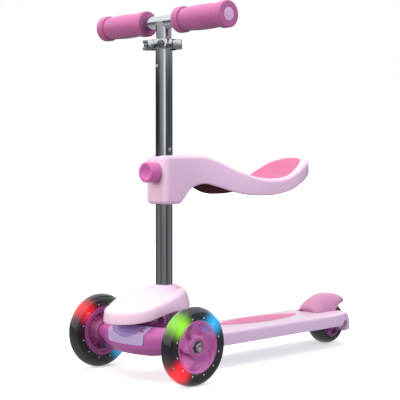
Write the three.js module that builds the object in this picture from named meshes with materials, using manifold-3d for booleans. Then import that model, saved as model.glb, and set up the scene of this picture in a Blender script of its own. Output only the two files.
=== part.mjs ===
// A three-wheeled, lean-to-steer kick scooter for a small child, with a seat that rides on the mast.
// Millimetres, +Z up. The front faces -Y and +X is the rider's left. The design is laid out with
// Y = 0 at the front axle, and the whole group is then centred on its own footprint.
import * as THREE from 'three';
import { mergeVertices } from 'three/addons/utils/BufferGeometryUtils.js';
import Module from 'manifold-3d';

const wasm = await Module();
wasm.setup();

// ---- driving dimensions -------------------------------------------------------------------------
const gap = 0.3;                    // air left between pieces that touch
const track = 231;                  // between the centres of the front tyres
const wheelbase = 463;
const frontWheelRadius = 62.5;
const rearWheelRadius = 40;
const tyreWidth = 24;               // of a front tyre
const tyreCrown = 9;                // depth of its round tread
const rearTyreWidth = 36;
const rearTyreCrown = 12;
const frontCoreRadius = 42;
const rearCoreRadius = 26;
const pocketCount = 5;              // openings between the spokes
const ledCount = 4;

const bearingRadius = 11;
const bearingBore = 4;
const bearingWidth = 7;
const axleRadius = 3.8;
const boltHeadRadius = 6.5;
const boltHeadHeight = 4.7;

const leanAngle = THREE.MathUtils.degToRad(25);   // the kingpin leans forward at its top
const kingpinY = 10;                // where the kingpin crosses the height kingpinZ
const kingpinZ = 60;
const kingpinRadius = 5;

const truckHalfLength = 92;
const truckReach = 46;              // truck nose, ahead of the axle
const truckEndReach = 17;           // the same at its ends
const truckBack = 22;
const truckTop = 88;
const truckBevel = 6;
const truckBottom = 38;
const truckEndBottom = 46;
const stubRadius = 14;
const insertHalfWidth = 43;
const insertBottom = 58;
const insertTop = 90;
const insertThickness = 4;

const armReach = 21;                // the rear arms end this far behind the rear axle
const deckLength = wheelbase + armReach;
const deckHalfWidth = 54;
const deckTop = 65;                 // the flat middle of the standing surface
const deckFlatHalf = 33;
const deckCrownDrop = 2.5;          // the surface falls away towards the edges
const deckEdgeDrop = 6;
const deckThickness = 25.5;
const deckWall = 4;
const deckFloor = 5;                // thickness of the standing surface
const tongueStart = 50;             // front end of the narrow tongue under the stem base
const tongueHalfWidth = 32;
const shoulderStart = 96;           // where the tongue starts to widen
const shoulderEnd = 136;
const tailStart = wheelbase - 38;   // where the arms start to draw in
const tailHalfWidth = 41;
const slotHalfWidth = 27;
const slotStart = wheelbase - 59;
const lugRadius = 12;
const inlayStart = 168;
const inlayEnd = slotStart - 27;
const inlayHalfWidth = 30;
const inlayThickness = 2;

const mastY = 43.7;
const mastRadius = 14.3;
const mastWall = 1.3;
const mastBottom = 72;
const mastTop = 549;
const baseHalfWidth = 60;
const baseHalfLength = 79;
const baseY = 6.5;                  // middle of the stem base's oval
const baseWall = 4;
const collarTop = 146.5;
const collarRadius = 23.5;

const stemRadius = mastRadius - mastWall - gap;
const stemWall = 1.5;
const stemBottom = 430;
const stemTravel = 60;
const barZ = 580;
const barRadius = 11.1;
const barWall = 1.5;
const barHalfLength = 140;
const gripStart = 38;
const gripEnd = 151;
const gripRadius = 18.3;
const gripSwell = 2.3;
const gripFlangeRadius = 21.3;
const gripFlangeWidth = 14;

const clampBottom = 534.5;
const clampHeight = 16.5;
const clampWall = 3.2;
const clampTurn = THREE.MathUtils.degToRad(33);   // how far the clamp is turned on the mast
const clampBoltAt = mastRadius + 7.7;
const clampEar = clampBoltAt + 8;
const clampEarShort = clampBoltAt + 4.5;
const clampPlate = 4;
const clampSlit = 1.2;
const leverPinAt = clampBoltAt + 9;
const leverArmRadius = mastRadius + 6.7;
const leverArmThickness = 2.6;
const buttonZ = 507;
const buttonRadius = 3;
const buttonTravel = 3;
const mastScrewZ = 370;

const seatFrontWall = 4.9;          // from the mast to the front of the seat's block
const seatFront = mastY - mastRadius - seatFrontWall;
const seatEnd = 384;
const seatTop = 360.5;
const seatBottom = 280;
const seatBlockHalfWidth = 26;
const seatHalfWidth = 62;
const seatWall = 4;
const padInset = 15;
const padStart = 172;
const padThickness = 5;
const padSink = 2.5;                // how far the pad lies below the rim
const knobZ = 333;
const knobRadius = 16.5;
const knobLength = 19.4;
const knobPinRadius = 4;

const brakePinY = slotStart + 10;
const brakePinZ = 50;
const brakePinRadius = 2.5;
const brakeHalfWidth = 25;
const brakeWall = 3.5;
const brakeTip = wheelbase + 43;
const brakeFront = slotStart + 2;
const brakeLift = 3.8;              // air between brake pad and tyre

const round = 20;                   // facets round a tube
const fine = 28;                    // facets round a wheel
const small = 12;                   // facets round a bolt or a pin

// ---- colours ------------------------------------------------------------------------------------
function finish(color, roughness, metalness) {
  return new THREE.MeshStandardMaterial({ color, roughness, metalness });
}
const palePink = finish('#ecd2ea', 0.3, 0);
const deepPink = finish('#c56db1', 0.35, 0);
const lavender = finish('#c3abd6', 0.3, 0);
const rosePink = finish('#ef86b6', 0.6, 0);
const clearTyre = finish('#3c3b40', 0.2, 0);
const chrome = finish('#c9cccf', 0.15, 1);
const darkSteel = finish('#55585c', 0.35, 1);
const rubber = finish('#2a2a2c', 0.8, 0);
const board = finish('#e8f0ea', 0.5, 0);

// ---- solids -------------------------------------------------------------------------------------
function volumeOf(position, index) {
  const a = new THREE.Vector3();
  const b = new THREE.Vector3();
  const c = new THREE.Vector3();
  let volume = 0;
  for (let i = 0; i < index.count; i += 3) {
    a.fromBufferAttribute(position, index.getX(i));
    b.fromBufferAttribute(position, index.getX(i + 1));
    c.fromBufferAttribute(position, index.getX(i + 2));
    volume += a.dot(b.cross(c)) / 6;
  }
  return volume;
}

// A closed three.js geometry as a solid whose faces point out.
function solid(geometry) {
  const bare = geometry.clone();
  bare.deleteAttribute('normal');
  bare.deleteAttribute('uv');
  const merged = mergeVertices(bare, 1e-4);
  const corners = Uint32Array.from(merged.index.array);
  if (volumeOf(merged.attributes.position, merged.index) < 0) {
    for (let i = 0; i < corners.length; i += 3) {
      [corners[i], corners[i + 1]] = [corners[i + 1], corners[i]];
    }
  }
  const vertProperties = Float32Array.from(merged.attributes.position.array);
  return new wasm.Manifold(new wasm.Mesh({ numProp: 3, vertProperties, triVerts: corners }));
}

function geometryOf(piece) {
  const { vertProperties, triVerts } = piece.getMesh();
  const geometry = new THREE.BufferGeometry();
  geometry.setAttribute('position', new THREE.BufferAttribute(vertProperties, 3));
  geometry.setIndex(new THREE.BufferAttribute(triVerts, 1));
  geometry.computeVertexNormals();
  return geometry;
}

const alongZ = new THREE.Matrix4().makeRotationX(Math.PI / 2);
const alongX = new THREE.Matrix4().makeRotationZ(-Math.PI / 2);
const alongY = new THREE.Matrix4();

function at(x, y, z) {
  return new THREE.Matrix4().makeTranslation(x, y, z);
}

// Turned about a line: profile holds [radius, distance along the line] pairs.
function turned(profile, facets, direction, place) {
  const points = profile.map(([radius, along]) => new THREE.Vector2(radius, along));
  const geometry = new THREE.LatheGeometry(points, facets);
  return solid(geometry.applyMatrix4(direction).applyMatrix4(place));
}

// A tube or ring, or a rod where inner is 0.
function tube(outer, inner, from, to, facets, direction, place) {
  const profile = [[inner, from], [outer, from], [outer, to], [inner, to]];
  if (inner > 0) profile.push([inner, from]);
  return turned(profile, facets, direction, place);
}

function block(x0, x1, y0, y1, z0, z1) {
  const geometry = new THREE.BoxGeometry(x1 - x0, y1 - y0, z1 - z0);
  return solid(geometry.applyMatrix4(at((x0 + x1) / 2, (y0 + y1) / 2, (z0 + z1) / 2)));
}

// An outline of [x, y] pairs raised from z0 to z1, its edges bevelled by the amount asked.
function raised(outline, z0, z1, bevel = 0) {
  const shape = new THREE.Shape(outline.map(([x, y]) => new THREE.Vector2(x, y)));
  const geometry = new THREE.ExtrudeGeometry(shape, {
    depth: z1 - z0 - 2 * bevel,
    bevelEnabled: bevel > 0,
    bevelSize: bevel,
    bevelThickness: bevel,
    bevelOffset: -bevel,
    bevelSegments: 1,
  });
  return solid(geometry.applyMatrix4(at(0, 0, z0 + bevel)));
}

// A skin over rings of equal point counts, closed by a fan at each end.
function lofted(rings) {
  const count = rings[0].length;
  const positions = rings.flat(2);
  const index = [];
  for (let k = 0; k + 1 < rings.length; k += 1) {
    for (let i = 0; i < count; i += 1) {
      const a = k * count + i;
      const b = k * count + (i + 1) % count;
      index.push(a, b, a + count, b, b + count, a + count);
    }
  }
  [0, rings.length - 1].forEach((k) => {
    const middle = [0, 1, 2].map((n) => rings[k].reduce((sum, p) => sum + p[n], 0) / count);
    const centre = positions.length / 3;
    positions.push(...middle);
    for (let i = 0; i < count; i += 1) {
      const a = k * count + i;
      const b = k * count + (i + 1) % count;
      index.push(centre, ...(k === 0 ? [b, a] : [a, b]));
    }
  });
  const geometry = new THREE.BufferGeometry();
  geometry.setAttribute('position', new THREE.Float32BufferAttribute(positions, 3));
  geometry.setIndex(index);
  return solid(geometry);
}

function joined(pieces) {
  return pieces.reduce((whole, piece) => whole.add(piece));
}

function mirrored(halfOutline) {
  const other = halfOutline.map(([x, y]) => [-x, y]).reverse();
  return [...halfOutline, ...other];
}

function smooth(from, to, value) {
  return THREE.MathUtils.smoothstep(value, from, to);
}

// A smooth height line through [position, height] knots.
function heightLine(knots) {
  const curve = new THREE.SplineCurve(knots.map(([y, z]) => new THREE.Vector2(y, z)));
  const points = curve.getPoints(knots.length * 12);
  return (y) => {
    const next = points.findIndex((p) => p.x >= y);
    if (next === 0) return points[0].y;
    if (next < 0) return points[points.length - 1].y;
    const a = points[next - 1];
    const b = points[next];
    return THREE.MathUtils.mapLinear(y, a.x, b.x, a.y, b.y);
  };
}

// ---- the scene graph ----------------------------------------------------------------------------
const scooter = new THREE.Group();

function place(name, piece, material, parent = scooter) {
  const mesh = new THREE.Mesh(geometryOf(piece), material.clone());
  mesh.name = name;
  parent.add(mesh);
  return mesh;
}

// ---- wheels: laid out round X with the outer face at +X -----------------------------------------
const hubRadius = 16;
const rimThickness = 6;
const webInner = 2.5;
const webOuter = 8;
const bearingInset = 1.5;           // a bearing lies this far inside the hub's end
const sleeveRadius = 6.5;
const ledBoardFrom = -9;
const ledBoardTo = -6.5;
const ledPostHalfWidth = 2.5;
const ledPostDepth = 6.5;           // how far an LED stands into the tyre
const here = at(0, 0, 0);

function tyre(outerRadius, coreRadius, width, crown) {
  const profile = [];
  for (let k = 0; k <= 6; k += 1) {
    const turn = Math.PI * (k / 6 - 0.5);
    const radius = outerRadius - crown + crown * Math.cos(turn);
    profile.push([radius, (width / 2) * Math.sin(turn)]);
  }
  const inner = coreRadius + gap;
  profile.unshift([inner, -width / 2]);
  profile.push([inner, width / 2], [inner, -width / 2]);
  return turned(profile, fine, alongX, here);
}

function pocket(turn, innerRadius, outerRadius) {
  const step = (2 * Math.PI) / pocketCount;
  const outline = [];
  // Each corner's share of the step between spokes: the pocket leans back as it runs out to the rim.
  const corners = [[innerRadius, -0.16], [innerRadius, 0.2], [outerRadius, 0.34], [outerRadius, 0.06],
    [outerRadius, -0.22]];
  corners.forEach(([radius, share]) => {
    const angle = turn + share * step;
    outline.push([radius * Math.cos(angle), radius * Math.sin(angle)]);
  });
  const cut = raised(outline, -tyreWidth, tyreWidth);
  return solid(geometryOf(cut).rotateY(Math.PI / 2));
}

function wheelCore(coreRadius, width) {
  const half = width / 2;
  const rimInner = coreRadius - rimThickness;
  const bore = bearingRadius + gap / 2;
  const coneRadius = Math.min(hubRadius + 13, rimInner - 4);
  const profile = [
    [bore, -half], [hubRadius, -half], [coneRadius, webInner], [rimInner, webInner], [rimInner, -half],
    [coreRadius, -half], [coreRadius, half], [rimInner + 1.5, half], [rimInner, webOuter],
    [hubRadius + 2, webOuter], [hubRadius, half], [bore, half], [bore, -half],
  ];
  const core = turned(profile, fine, alongX, here);
  const cuts = [];
  for (let k = 0; k < pocketCount; k += 1) {
    cuts.push(pocket((2 * Math.PI * (k + 0.25)) / pocketCount, hubRadius + 4, rimInner - 2));
  }
  return core.subtract(joined(cuts));
}

function ledRing(slack) {
  const inner = frontCoreRadius - rimThickness - 4.5;
  const outer = frontCoreRadius - rimThickness - gap;
  const ring = tube(outer + slack, inner - slack, ledBoardFrom - slack, ledBoardTo + slack, fine, alongX,
    here);
  const posts = [];
  for (let k = 0; k < ledCount; k += 1) {
    const turn = Math.PI / 4 + (2 * Math.PI * k) / ledCount;
    const reach = frontCoreRadius + ledPostDepth + slack;
    const wide = ledPostHalfWidth + slack;
    const post = new THREE.BoxGeometry(ledBoardTo - ledBoardFrom + 2 * slack, reach - inner - 2, 2 * wide);
    post.translate((ledBoardFrom + ledBoardTo) / 2, (reach + inner + 2) / 2, 0).rotateX(turn);
    posts.push(solid(post));
  }
  return joined([ring, ...posts]);
}

function bearing(from) {
  return tube(bearingRadius, bearingBore, from, from + bearingWidth, round, alongX, here);
}

const bearingOuterFace = tyreWidth / 2 - bearingInset;

function buildWheel(side, parent, outerRadius, coreRadius, width, crown, hasLeds) {
  const leds = hasLeds ? ledRing(gap) : null;
  const core = wheelCore(coreRadius, width);
  const band = tyre(outerRadius, coreRadius, width, crown);
  const outerFace = width / 2 - bearingInset;
  const innerFace = outerFace - bearingWidth;
  place(`wheel_core_${side}`, leds ? core.subtract(leds) : core, deepPink, parent);
  place(`tyre_${side}`, leds ? band.subtract(leds) : band, clearTyre, parent);
  place(`bearing_outer_${side}`, bearing(innerFace), darkSteel, parent);
  place(`bearing_inner_${side}`, bearing(-outerFace), darkSteel, parent);
  if (leds) place(`led_ring_${side}`, ledRing(0), board, parent);
  const sleeve = innerFace - gap;
  place(`axle_sleeve_${side}`, tube(sleeveRadius, bearingBore, -sleeve, sleeve, round, alongX, here),
    darkSteel, parent);
}

function socketBolt(length, place3) {
  const head = boltHeadHeight;
  const profile = [
    [0, -length], [axleRadius, -length], [axleRadius, 0], [boltHeadRadius, 0], [boltHeadRadius, head - 0.8],
    [boltHeadRadius - 0.8, head], [2.9, head], [2.9, head - 2.6], [0, head - 2.6],
  ];
  return turned(profile, small, alongX, place3);
}

function hexNut(acrossFlats, inner, from, to, place3) {
  const nut = tube(acrossFlats / 2 / Math.cos(Math.PI / 6), 0, from, to, 6, alongX, here);
  const drilled = nut.subtract(tube(inner, 0, from - 1, to + 1, small, alongX, here));
  return solid(geometryOf(drilled).applyMatrix4(place3));
}

const faceLeft = new THREE.Matrix4();
const faceRight = new THREE.Matrix4().makeRotationZ(Math.PI);
const stubEnd = track / 2 - tyreWidth / 2 - 1;
const axleReach = 46;               // how far a front axle bolt runs in from the bearing's face
const nutFrom = track / 2 + bearingOuterFace + gap - axleReach + 2;
const nutWidth = 6.5;
const nutFlats = 13;

[['left', 1, faceLeft], ['right', -1, faceRight]].forEach(([side, sign, facing]) => {
  const wheel = new THREE.Group();
  wheel.position.set((sign * track) / 2, 0, frontWheelRadius);
  wheel.rotation.z = sign > 0 ? 0 : Math.PI;
  scooter.add(wheel);
  buildWheel(side, wheel, frontWheelRadius, frontCoreRadius, tyreWidth, tyreCrown, true);
  const head = facing.clone().premultiply(at(0, 0, frontWheelRadius))
    .multiply(at(track / 2 + bearingOuterFace + gap, 0, 0));
  place(`axle_bolt_${side}`, socketBolt(axleReach, head), chrome);
  const seat = facing.clone().premultiply(at(0, 0, frontWheelRadius));
  const nut = hexNut(nutFlats, axleRadius + gap / 2, nutFrom, nutFrom + nutWidth, seat);
  place(`axle_nut_${side}`, nut, darkSteel);
});

const rearWheel = new THREE.Group();
rearWheel.position.set(0, wheelbase, rearWheelRadius);
scooter.add(rearWheel);
buildWheel('rear', rearWheel, rearWheelRadius, rearCoreRadius, rearTyreWidth, rearTyreCrown, false);

// ---- truck: swings about the kingpin ------------------------------------------------------------
const kingpinFrame = new THREE.Matrix4().makeRotationX(leanAngle).premultiply(at(0, kingpinY, kingpinZ))
  .multiply(alongZ);
const mastFoot = at(0, mastY, 0);
const bossRadius = 18;
const bossTop = 28;
const bossBottom = -16;
const headRecessRadius = 12;

// The truck's plan: a bowed nose whose outline can be moved out or in.
function truckPlan(offset) {
  const steps = 10;
  const nose = [];
  for (let k = 0; k <= steps; k += 1) {
    const x = truckHalfLength * (1 - (2 * k) / steps);
    const bow = 1 - (x / truckHalfLength) ** 2;
    nose.push([x, -truckEndReach - (truckReach - truckEndReach) * bow - offset]);
  }
  const back = [[-truckHalfLength, truckBack - 8], [-truckHalfLength + 34, truckBack]];
  return [...nose, ...back, ...back.map(([x, y]) => [-x, y]).reverse()];
}

// A front-view outline of [x, z] pairs, from y0 to y1.
function throughY(outline, y0, y1) {
  const plate = raised(outline.map(([x, z]) => [x, -z]), y0, y1);
  return solid(geometryOf(plate).rotateX(-Math.PI / 2));
}

const truckFront = mirrored([
  [truckHalfLength - 46, truckBottom], [truckHalfLength - 6, truckEndBottom],
  [truckHalfLength, truckEndBottom + 5], [truckHalfLength, truckTop - 4], [truckHalfLength - 14, truckTop],
]);
const insertFront = mirrored([
  [insertHalfWidth - 12, insertBottom], [insertHalfWidth, insertBottom + 4],
  [insertHalfWidth, insertTop - 8], [insertHalfWidth + 7, insertTop],
]);
const axleLine = at(0, 0, frontWheelRadius);

function truckInsert(slack) {
  const outer = raised(truckPlan(1), insertBottom - 5, insertTop + 5);
  const inner = raised(truckPlan(1 - insertThickness - slack), insertBottom - 9, insertTop + 9);
  const front = throughY(insertFront.map(([x, z]) => [x * (1 + slack / insertHalfWidth),
    z + (z < frontWheelRadius ? -slack : slack)]), -truckReach - 9, -truckEndReach);
  return outer.intersect(front).subtract(inner);
}

function truckBody() {
  const slab = raised(truckPlan(0), truckBottom, truckTop, truckBevel);
  const body = slab.intersect(throughY(truckFront, -99, 99));
  const stubs = tube(stubRadius, 0, -stubEnd, stubEnd, round, alongX, axleLine);
  const boss = tube(bossRadius, 0, bossBottom, bossTop, round, alongY, kingpinFrame);
  const clipped = boss.subtract(block(-99, 99, -99, 99, -99, truckBottom - 4));
  const kingpinHole = tube(kingpinRadius + gap, 0, -60, 60, small, alongY, kingpinFrame);
  const headRecess = tube(headRecessRadius, 0, -60, bossBottom, round, alongY, kingpinFrame);
  const spotFace = tube(bossRadius, 0, bossTop, 60, round, alongY, kingpinFrame);
  const cuts = [kingpinHole, headRecess, spotFace, truckInsert(gap)];
  [1, -1].forEach((sign) => {
    const from = sign > 0 ? nutFrom - 6 : -stubEnd - 9;
    const to = sign > 0 ? stubEnd + 9 : 6 - nutFrom;
    cuts.push(tube(axleRadius + gap / 2, 0, from, to, small, alongX, axleLine));
    const trap = nutFlats / 2 + gap;
    const a = sign > 0 ? nutFrom - gap : -nutFrom - nutWidth - gap;
    cuts.push(block(a, a + nutWidth + 2 * gap, -trap, trap, frontWheelRadius - trap - 1.2, truckTop + 9));
  });
  return joined([body, stubs, clipped]).subtract(joined(cuts));
}
const truckGroup = new THREE.Group();
scooter.add(truckGroup);
place('truck_body', truckBody(), deepPink, truckGroup);
place('truck_insert', truckInsert(0), lavender, truckGroup);

// ---- kingpin and its bushes, in line with the leaning axis --------------------------------------
const plateFrom = 43;
const plateTo = 49;
const headThickness = 6;
const washerThickness = 2;
const washerRadius = 10.5;
const bushRadius = 17;
const kingpinHexRadius = 8.2;

function kingpinBolt() {
  const headTop = bossBottom - washerThickness - 2 * gap;
  const end = plateTo + 9;
  const shank = tube(kingpinRadius, 0, headTop - headThickness / 2, end, small, alongY, kingpinFrame);
  const head = tube(kingpinHexRadius, 0, headTop - headThickness, headTop, 6, alongY, kingpinFrame);
  return shank.add(head);
}
place('kingpin_bolt', kingpinBolt(), darkSteel);
place('kingpin_washer', tube(washerRadius, kingpinRadius + gap, bossBottom - washerThickness - gap,
  bossBottom - gap, small, alongY, kingpinFrame), darkSteel);
place('kingpin_bush', tube(bushRadius, kingpinRadius + gap, bossTop + gap, plateFrom - gap, round, alongY,
  kingpinFrame), rubber);
place('kingpin_nut', tube(kingpinHexRadius, 0, plateTo + gap, plateTo + 7, 6, alongY, kingpinFrame)
  .subtract(tube(kingpinRadius + gap / 2, 0, plateTo, plateTo + 9, small, alongY, kingpinFrame)), darkSteel);

// The steel plate that carries the kingpin and is welded round the foot of the mast.
const plateHalfWidth = 22;
const plateFront = -16;             // along the plate, ahead of the kingpin
// Along the leaning plate, from its own zero to the mast's axis.
const plateReach = (mastY - kingpinY + plateFrom * Math.sin(leanAngle)) / Math.cos(leanAngle);
function kingpinPlate() {
  const reach = plateReach;
  const outline = [
    [-plateHalfWidth + 6, plateFront], [plateHalfWidth - 6, plateFront], [plateHalfWidth, plateFront + 8],
    [plateHalfWidth, reach - 8], [plateHalfWidth - 8, reach], [-plateHalfWidth + 8, reach],
    [-plateHalfWidth, reach - 8], [-plateHalfWidth, plateFront + 8],
  ];
  const flat = raised(outline, plateFrom, plateTo);
  const leaning = solid(geometryOf(flat).rotateX(leanAngle).translate(0, kingpinY, kingpinZ));
  const hole = tube(kingpinRadius + gap, 0, plateFrom - 9, plateTo + 9, small, alongY, kingpinFrame);
  return leaning.subtract(hole).subtract(tube(mastRadius + gap, 0, 0, 300, round, alongZ, mastFoot));
}
place('kingpin_plate', kingpinPlate(), darkSteel);

// ---- deck ---------------------------------------------------------------------------------------
const deckBottom = deckTop - deckThickness;

function deckOutline(inset) {
  const half = [];
  half.push([0, tongueStart + inset], [tongueHalfWidth - 8 - inset, tongueStart + inset],
    [tongueHalfWidth - inset, tongueStart + 8]);
  for (let k = 0; k <= 6; k += 1) {
    const y = THREE.MathUtils.lerp(shoulderStart, shoulderEnd, k / 6);
    const widened = smooth(shoulderStart, shoulderEnd, y);
    half.push([THREE.MathUtils.lerp(tongueHalfWidth, deckHalfWidth, widened) - inset, y]);
  }
  for (let k = 0; k <= 6; k += 1) {
    const y = THREE.MathUtils.lerp(tailStart, deckLength - 5, k / 6);
    const drawn = ((y - tailStart) / (deckLength - tailStart)) ** 1.7;
    half.push([THREE.MathUtils.lerp(deckHalfWidth, tailHalfWidth, drawn) - inset, y]);
  }
  half.push([tailHalfWidth - 7 - inset, deckLength - inset], [0, deckLength - inset]);
  return [...half, ...half.slice(1, -1).map(([x, y]) => [-x, y]).reverse()];
}

function inlay(grow, z0, z1) {
  const outline = [];
  const steps = 12;
  const middle = (inlayStart + inlayEnd) / 2;
  const half = (inlayEnd - inlayStart) / 2 + grow;
  [1, -1].forEach((sign) => {
    for (let k = 0; k < steps; k += 1) {
      const along = -sign * Math.cos((Math.PI * k) / steps);
      const width = (inlayHalfWidth + grow) * (1 - along * along) ** 0.8;
      outline.push([-sign * width, middle + half * along]);
    }
  });
  return raised(outline, z0, z1);
}

const inlayFloor = deckTop - inlayThickness;
const rearAxle = at(0, wheelbase, rearWheelRadius);
const brakePinLine = at(0, brakePinY, brakePinZ);
const rearArmRecess = 35;           // the rear bolt's head and nut sit this far out
const ribPitch = 50;
const ribWidth = 4;

function deckShell() {
  const section = throughY(mirrored([[deckHalfWidth - 3, deckBottom], [deckHalfWidth, deckBottom + 3],
    [deckHalfWidth, deckTop - deckEdgeDrop], [deckHalfWidth - 5, deckTop - deckCrownDrop],
    [deckFlatHalf, deckTop]]), tongueStart - 9, deckLength + 9);
  const slab = raised(deckOutline(0), deckBottom, deckTop).intersect(section);
  const lugs = tube(lugRadius, 0, -deckHalfWidth, deckHalfWidth, round, alongX, rearAxle)
    .intersect(raised(deckOutline(0), deckBottom - lugRadius, deckTop));
  const slot = block(-slotHalfWidth, slotHalfWidth, slotStart, deckLength + 9, 0, deckTop + 9);
  const cuts = [slot, inlay(gap, inlayFloor - gap, deckTop + 9)];
  const cellEnd = slotStart - deckWall;
  const rows = Math.floor((cellEnd - shoulderEnd) / ribPitch);
  const pitch = (cellEnd - shoulderEnd) / rows;
  for (let k = 0; k < rows; k += 1) {
    const y = shoulderEnd + k * pitch;
    const far = deckHalfWidth - deckWall - 2;
    [[ribWidth / 2, far], [-far, -ribWidth / 2]].forEach(([x0, x1]) => {
      cuts.push(block(x0, x1, y, y + pitch - ribWidth, deckBottom - 9, deckTop - deckFloor));
    });
  }
  cuts.push(tube(axleRadius + gap / 2, 0, -99, 99, small, alongX, rearAxle));
  cuts.push(tube(boltHeadRadius + 2, 0, rearArmRecess, 99, small, alongX, rearAxle));
  cuts.push(tube(nutFlats / 2 + 2, 0, -99, -rearArmRecess, small, alongX, rearAxle));
  cuts.push(tube(brakePinRadius + gap / 2, 0, -brakePinHalf, brakePinHalf, small, alongX, brakePinLine));
  [1, -1].forEach((sign) => {
    const line = at(sign * baseScrewX, baseScrewY, 0);
    cuts.push(tube(baseScrewRadius + gap / 2, 0, 0, 99, small, alongZ, line));
    cuts.push(tube(baseScrewHead + gap, 0, 0, baseScrewSeat + gap, small, alongZ, line));
  });
  const bosses = tube(armBossRadius, 0, -slotHalfWidth - 1, slotHalfWidth + 1, small, alongX, rearAxle)
    .subtract(block(-armBossFrom, armBossFrom, 0, 999, 0, 99));
  const drilled = bosses.subtract(tube(axleRadius + gap / 2, 0, -99, 99, small, alongX, rearAxle));
  return slab.add(lugs).subtract(joined(cuts)).add(drilled);
}

const brakePinHalf = slotHalfWidth + 7;
const armBossRadius = 6.5;          // a boss on each arm reaches in to the wheel's bearing
const armBossFrom = rearTyreWidth / 2 + 1;
const baseScrewX = 22;
const baseScrewY = 80;
const baseScrewRadius = 2.4;
const baseScrewHead = 4.2;
const baseScrewSeat = deckBottom + 5.2;
const baseScrewTop = deckTop + 12;
place('deck_shell', deckShell(), palePink);
place('deck_grip_inlay', inlay(0, inlayFloor, deckTop + 0.6), rosePink);

const rearBoltReach = 2 * rearArmRecess + nutWidth + 2;
const rearBoltHead = at(rearArmRecess + gap, wheelbase, rearWheelRadius);
place('rear_axle_bolt', socketBolt(rearBoltReach, rearBoltHead), chrome);
place('rear_axle_nut', hexNut(nutFlats, axleRadius + gap / 2, -rearArmRecess - gap - nutWidth,
  -rearArmRecess - gap, rearAxle), darkSteel);

// ---- stem base: the moulded cover that carries the mast -----------------------------------------
const rimLine = heightLine([[-80, 110.5], [-55, 112], [-38, 114.6], [-18, 121.6], [8, 128.8], [32, 134.8],
  [60, 137], [90, 137]]);
const skirtLine = heightLine([[-80, 91.5], [-55, 94], [-38, 97], [-6, 106.5], [23, 111], [60, 112],
  [90, 112]]);
const baseSides = 28;
const pedestalFront = 46;
const pedestalHalfWidth = 30;
const pedestalBack = 74;

// One level of the cover: 0 is the skirt's lower edge, 1 the rim, 2 the foot of the collar.
function baseRing(level, inset) {
  const ring = [];
  for (let k = 0; k < baseSides; k += 1) {
    const turn = (2 * Math.PI * k) / baseSides;
    const draft = Math.min(level, 1) * 0.045;
    const x = (baseHalfWidth - inset) * (1 - draft) * Math.cos(turn);
    const behind = Math.sin(turn) > 0 ? draft * 2.6 : draft * 0.6;
    const y = baseY + (baseHalfLength - inset) * (1 - behind) * Math.sin(turn);
    const foot = skirtLine(y);
    const rim = rimLine(y);
    if (level <= 1) {
      ring.push([x, y, THREE.MathUtils.lerp(foot, rim, level) - (level > 0 ? inset * level : 0)]);
    } else {
      const share = level - 1;
      const collarX = (collarRadius + 3 - inset) * Math.cos(turn);
      const collarY = mastY + (collarRadius + 3 - inset) * Math.sin(turn);
      const height = THREE.MathUtils.lerp(rim, collarTop - 8, share) + 4.5 * Math.sin(Math.PI * share);
      const inwards = THREE.MathUtils.lerp(x, collarX, share);
      ring.push([inwards, THREE.MathUtils.lerp(y, collarY, share), height - inset]);
    }
  }
  return ring;
}

function stemBase() {
  const skin = lofted([0, 0.92, 1.02, 1.2, 1.45, 1.7, 2].map((level) => baseRing(level, 0)));
  const collar = tube(collarRadius + 1, 0, collarTop - 14, collarTop - 2, round, alongZ, mastFoot)
    .add(turned([[0, collarTop - 3], [collarRadius + 1, collarTop - 3], [collarRadius, collarTop],
      [0, collarTop]], round, alongZ, mastFoot));
  const hollow = lofted([-0.3, 0.92, 1.02, 1.4].map((level) => baseRing(level, baseWall)));
  const pedestal = lofted([[deckTop + gap, 5, 22], [deckTop + 20, 2, 12], [108, 0, 4],
    [collarTop - 11, -6, -10]]
    .map(([z, flare, slope]) => {
      const half = pedestalHalfWidth + flare;
      const back = pedestalBack + slope;
      return [[-half, pedestalFront, z], [half, pedestalFront, z], [half, back - 12, z],
        [half - 12, back, z], [12 - half, back, z], [-half, back - 12, z]];
    }));
  const bore = tube(mastRadius + gap, 0, 0, 300, round, alongZ, mastFoot);
  const plateRoom = kingpinPlateRoom();
  const screwHoles = [1, -1].map((sign) => tube(baseScrewRadius + gap / 2, 0, 0, baseScrewTop + gap, small,
    alongZ, at(sign * baseScrewX, baseScrewY, 0)));
  return joined([skin.subtract(hollow), pedestal, collar])
    .subtract(joined([bore, plateRoom, ...screwHoles]));
}

function kingpinPlateRoom() {
  const reach = plateReach + gap;
  const wide = plateHalfWidth + gap;
  const flat = block(-wide, wide, plateFront - 9, reach, plateFrom - gap, plateTo + gap);
  const leaning = solid(geometryOf(flat).rotateX(leanAngle).translate(0, kingpinY, kingpinZ));
  const nutRoom = tube(12, 0, plateFrom - 30, plateTo + 10, small, alongY, kingpinFrame);
  return leaning.add(nutRoom);
}
place('stem_base', stemBase(), palePink);
[['left', 1], ['right', -1]].forEach(([side, sign]) => {
  const screw = turned([[0, baseScrewSeat - 2.2], [baseScrewHead, baseScrewSeat - 2.2],
    [baseScrewHead, baseScrewSeat], [baseScrewRadius, baseScrewSeat], [baseScrewRadius, baseScrewTop],
    [0, baseScrewTop]], small, alongZ,
  at(sign * baseScrewX, baseScrewY, 0));
  place(`stem_base_screw_${side}`, screw, darkSteel);
});

// ---- mast ---------------------------------------------------------------------------------------
const mastInner = mastRadius - mastWall;

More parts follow.
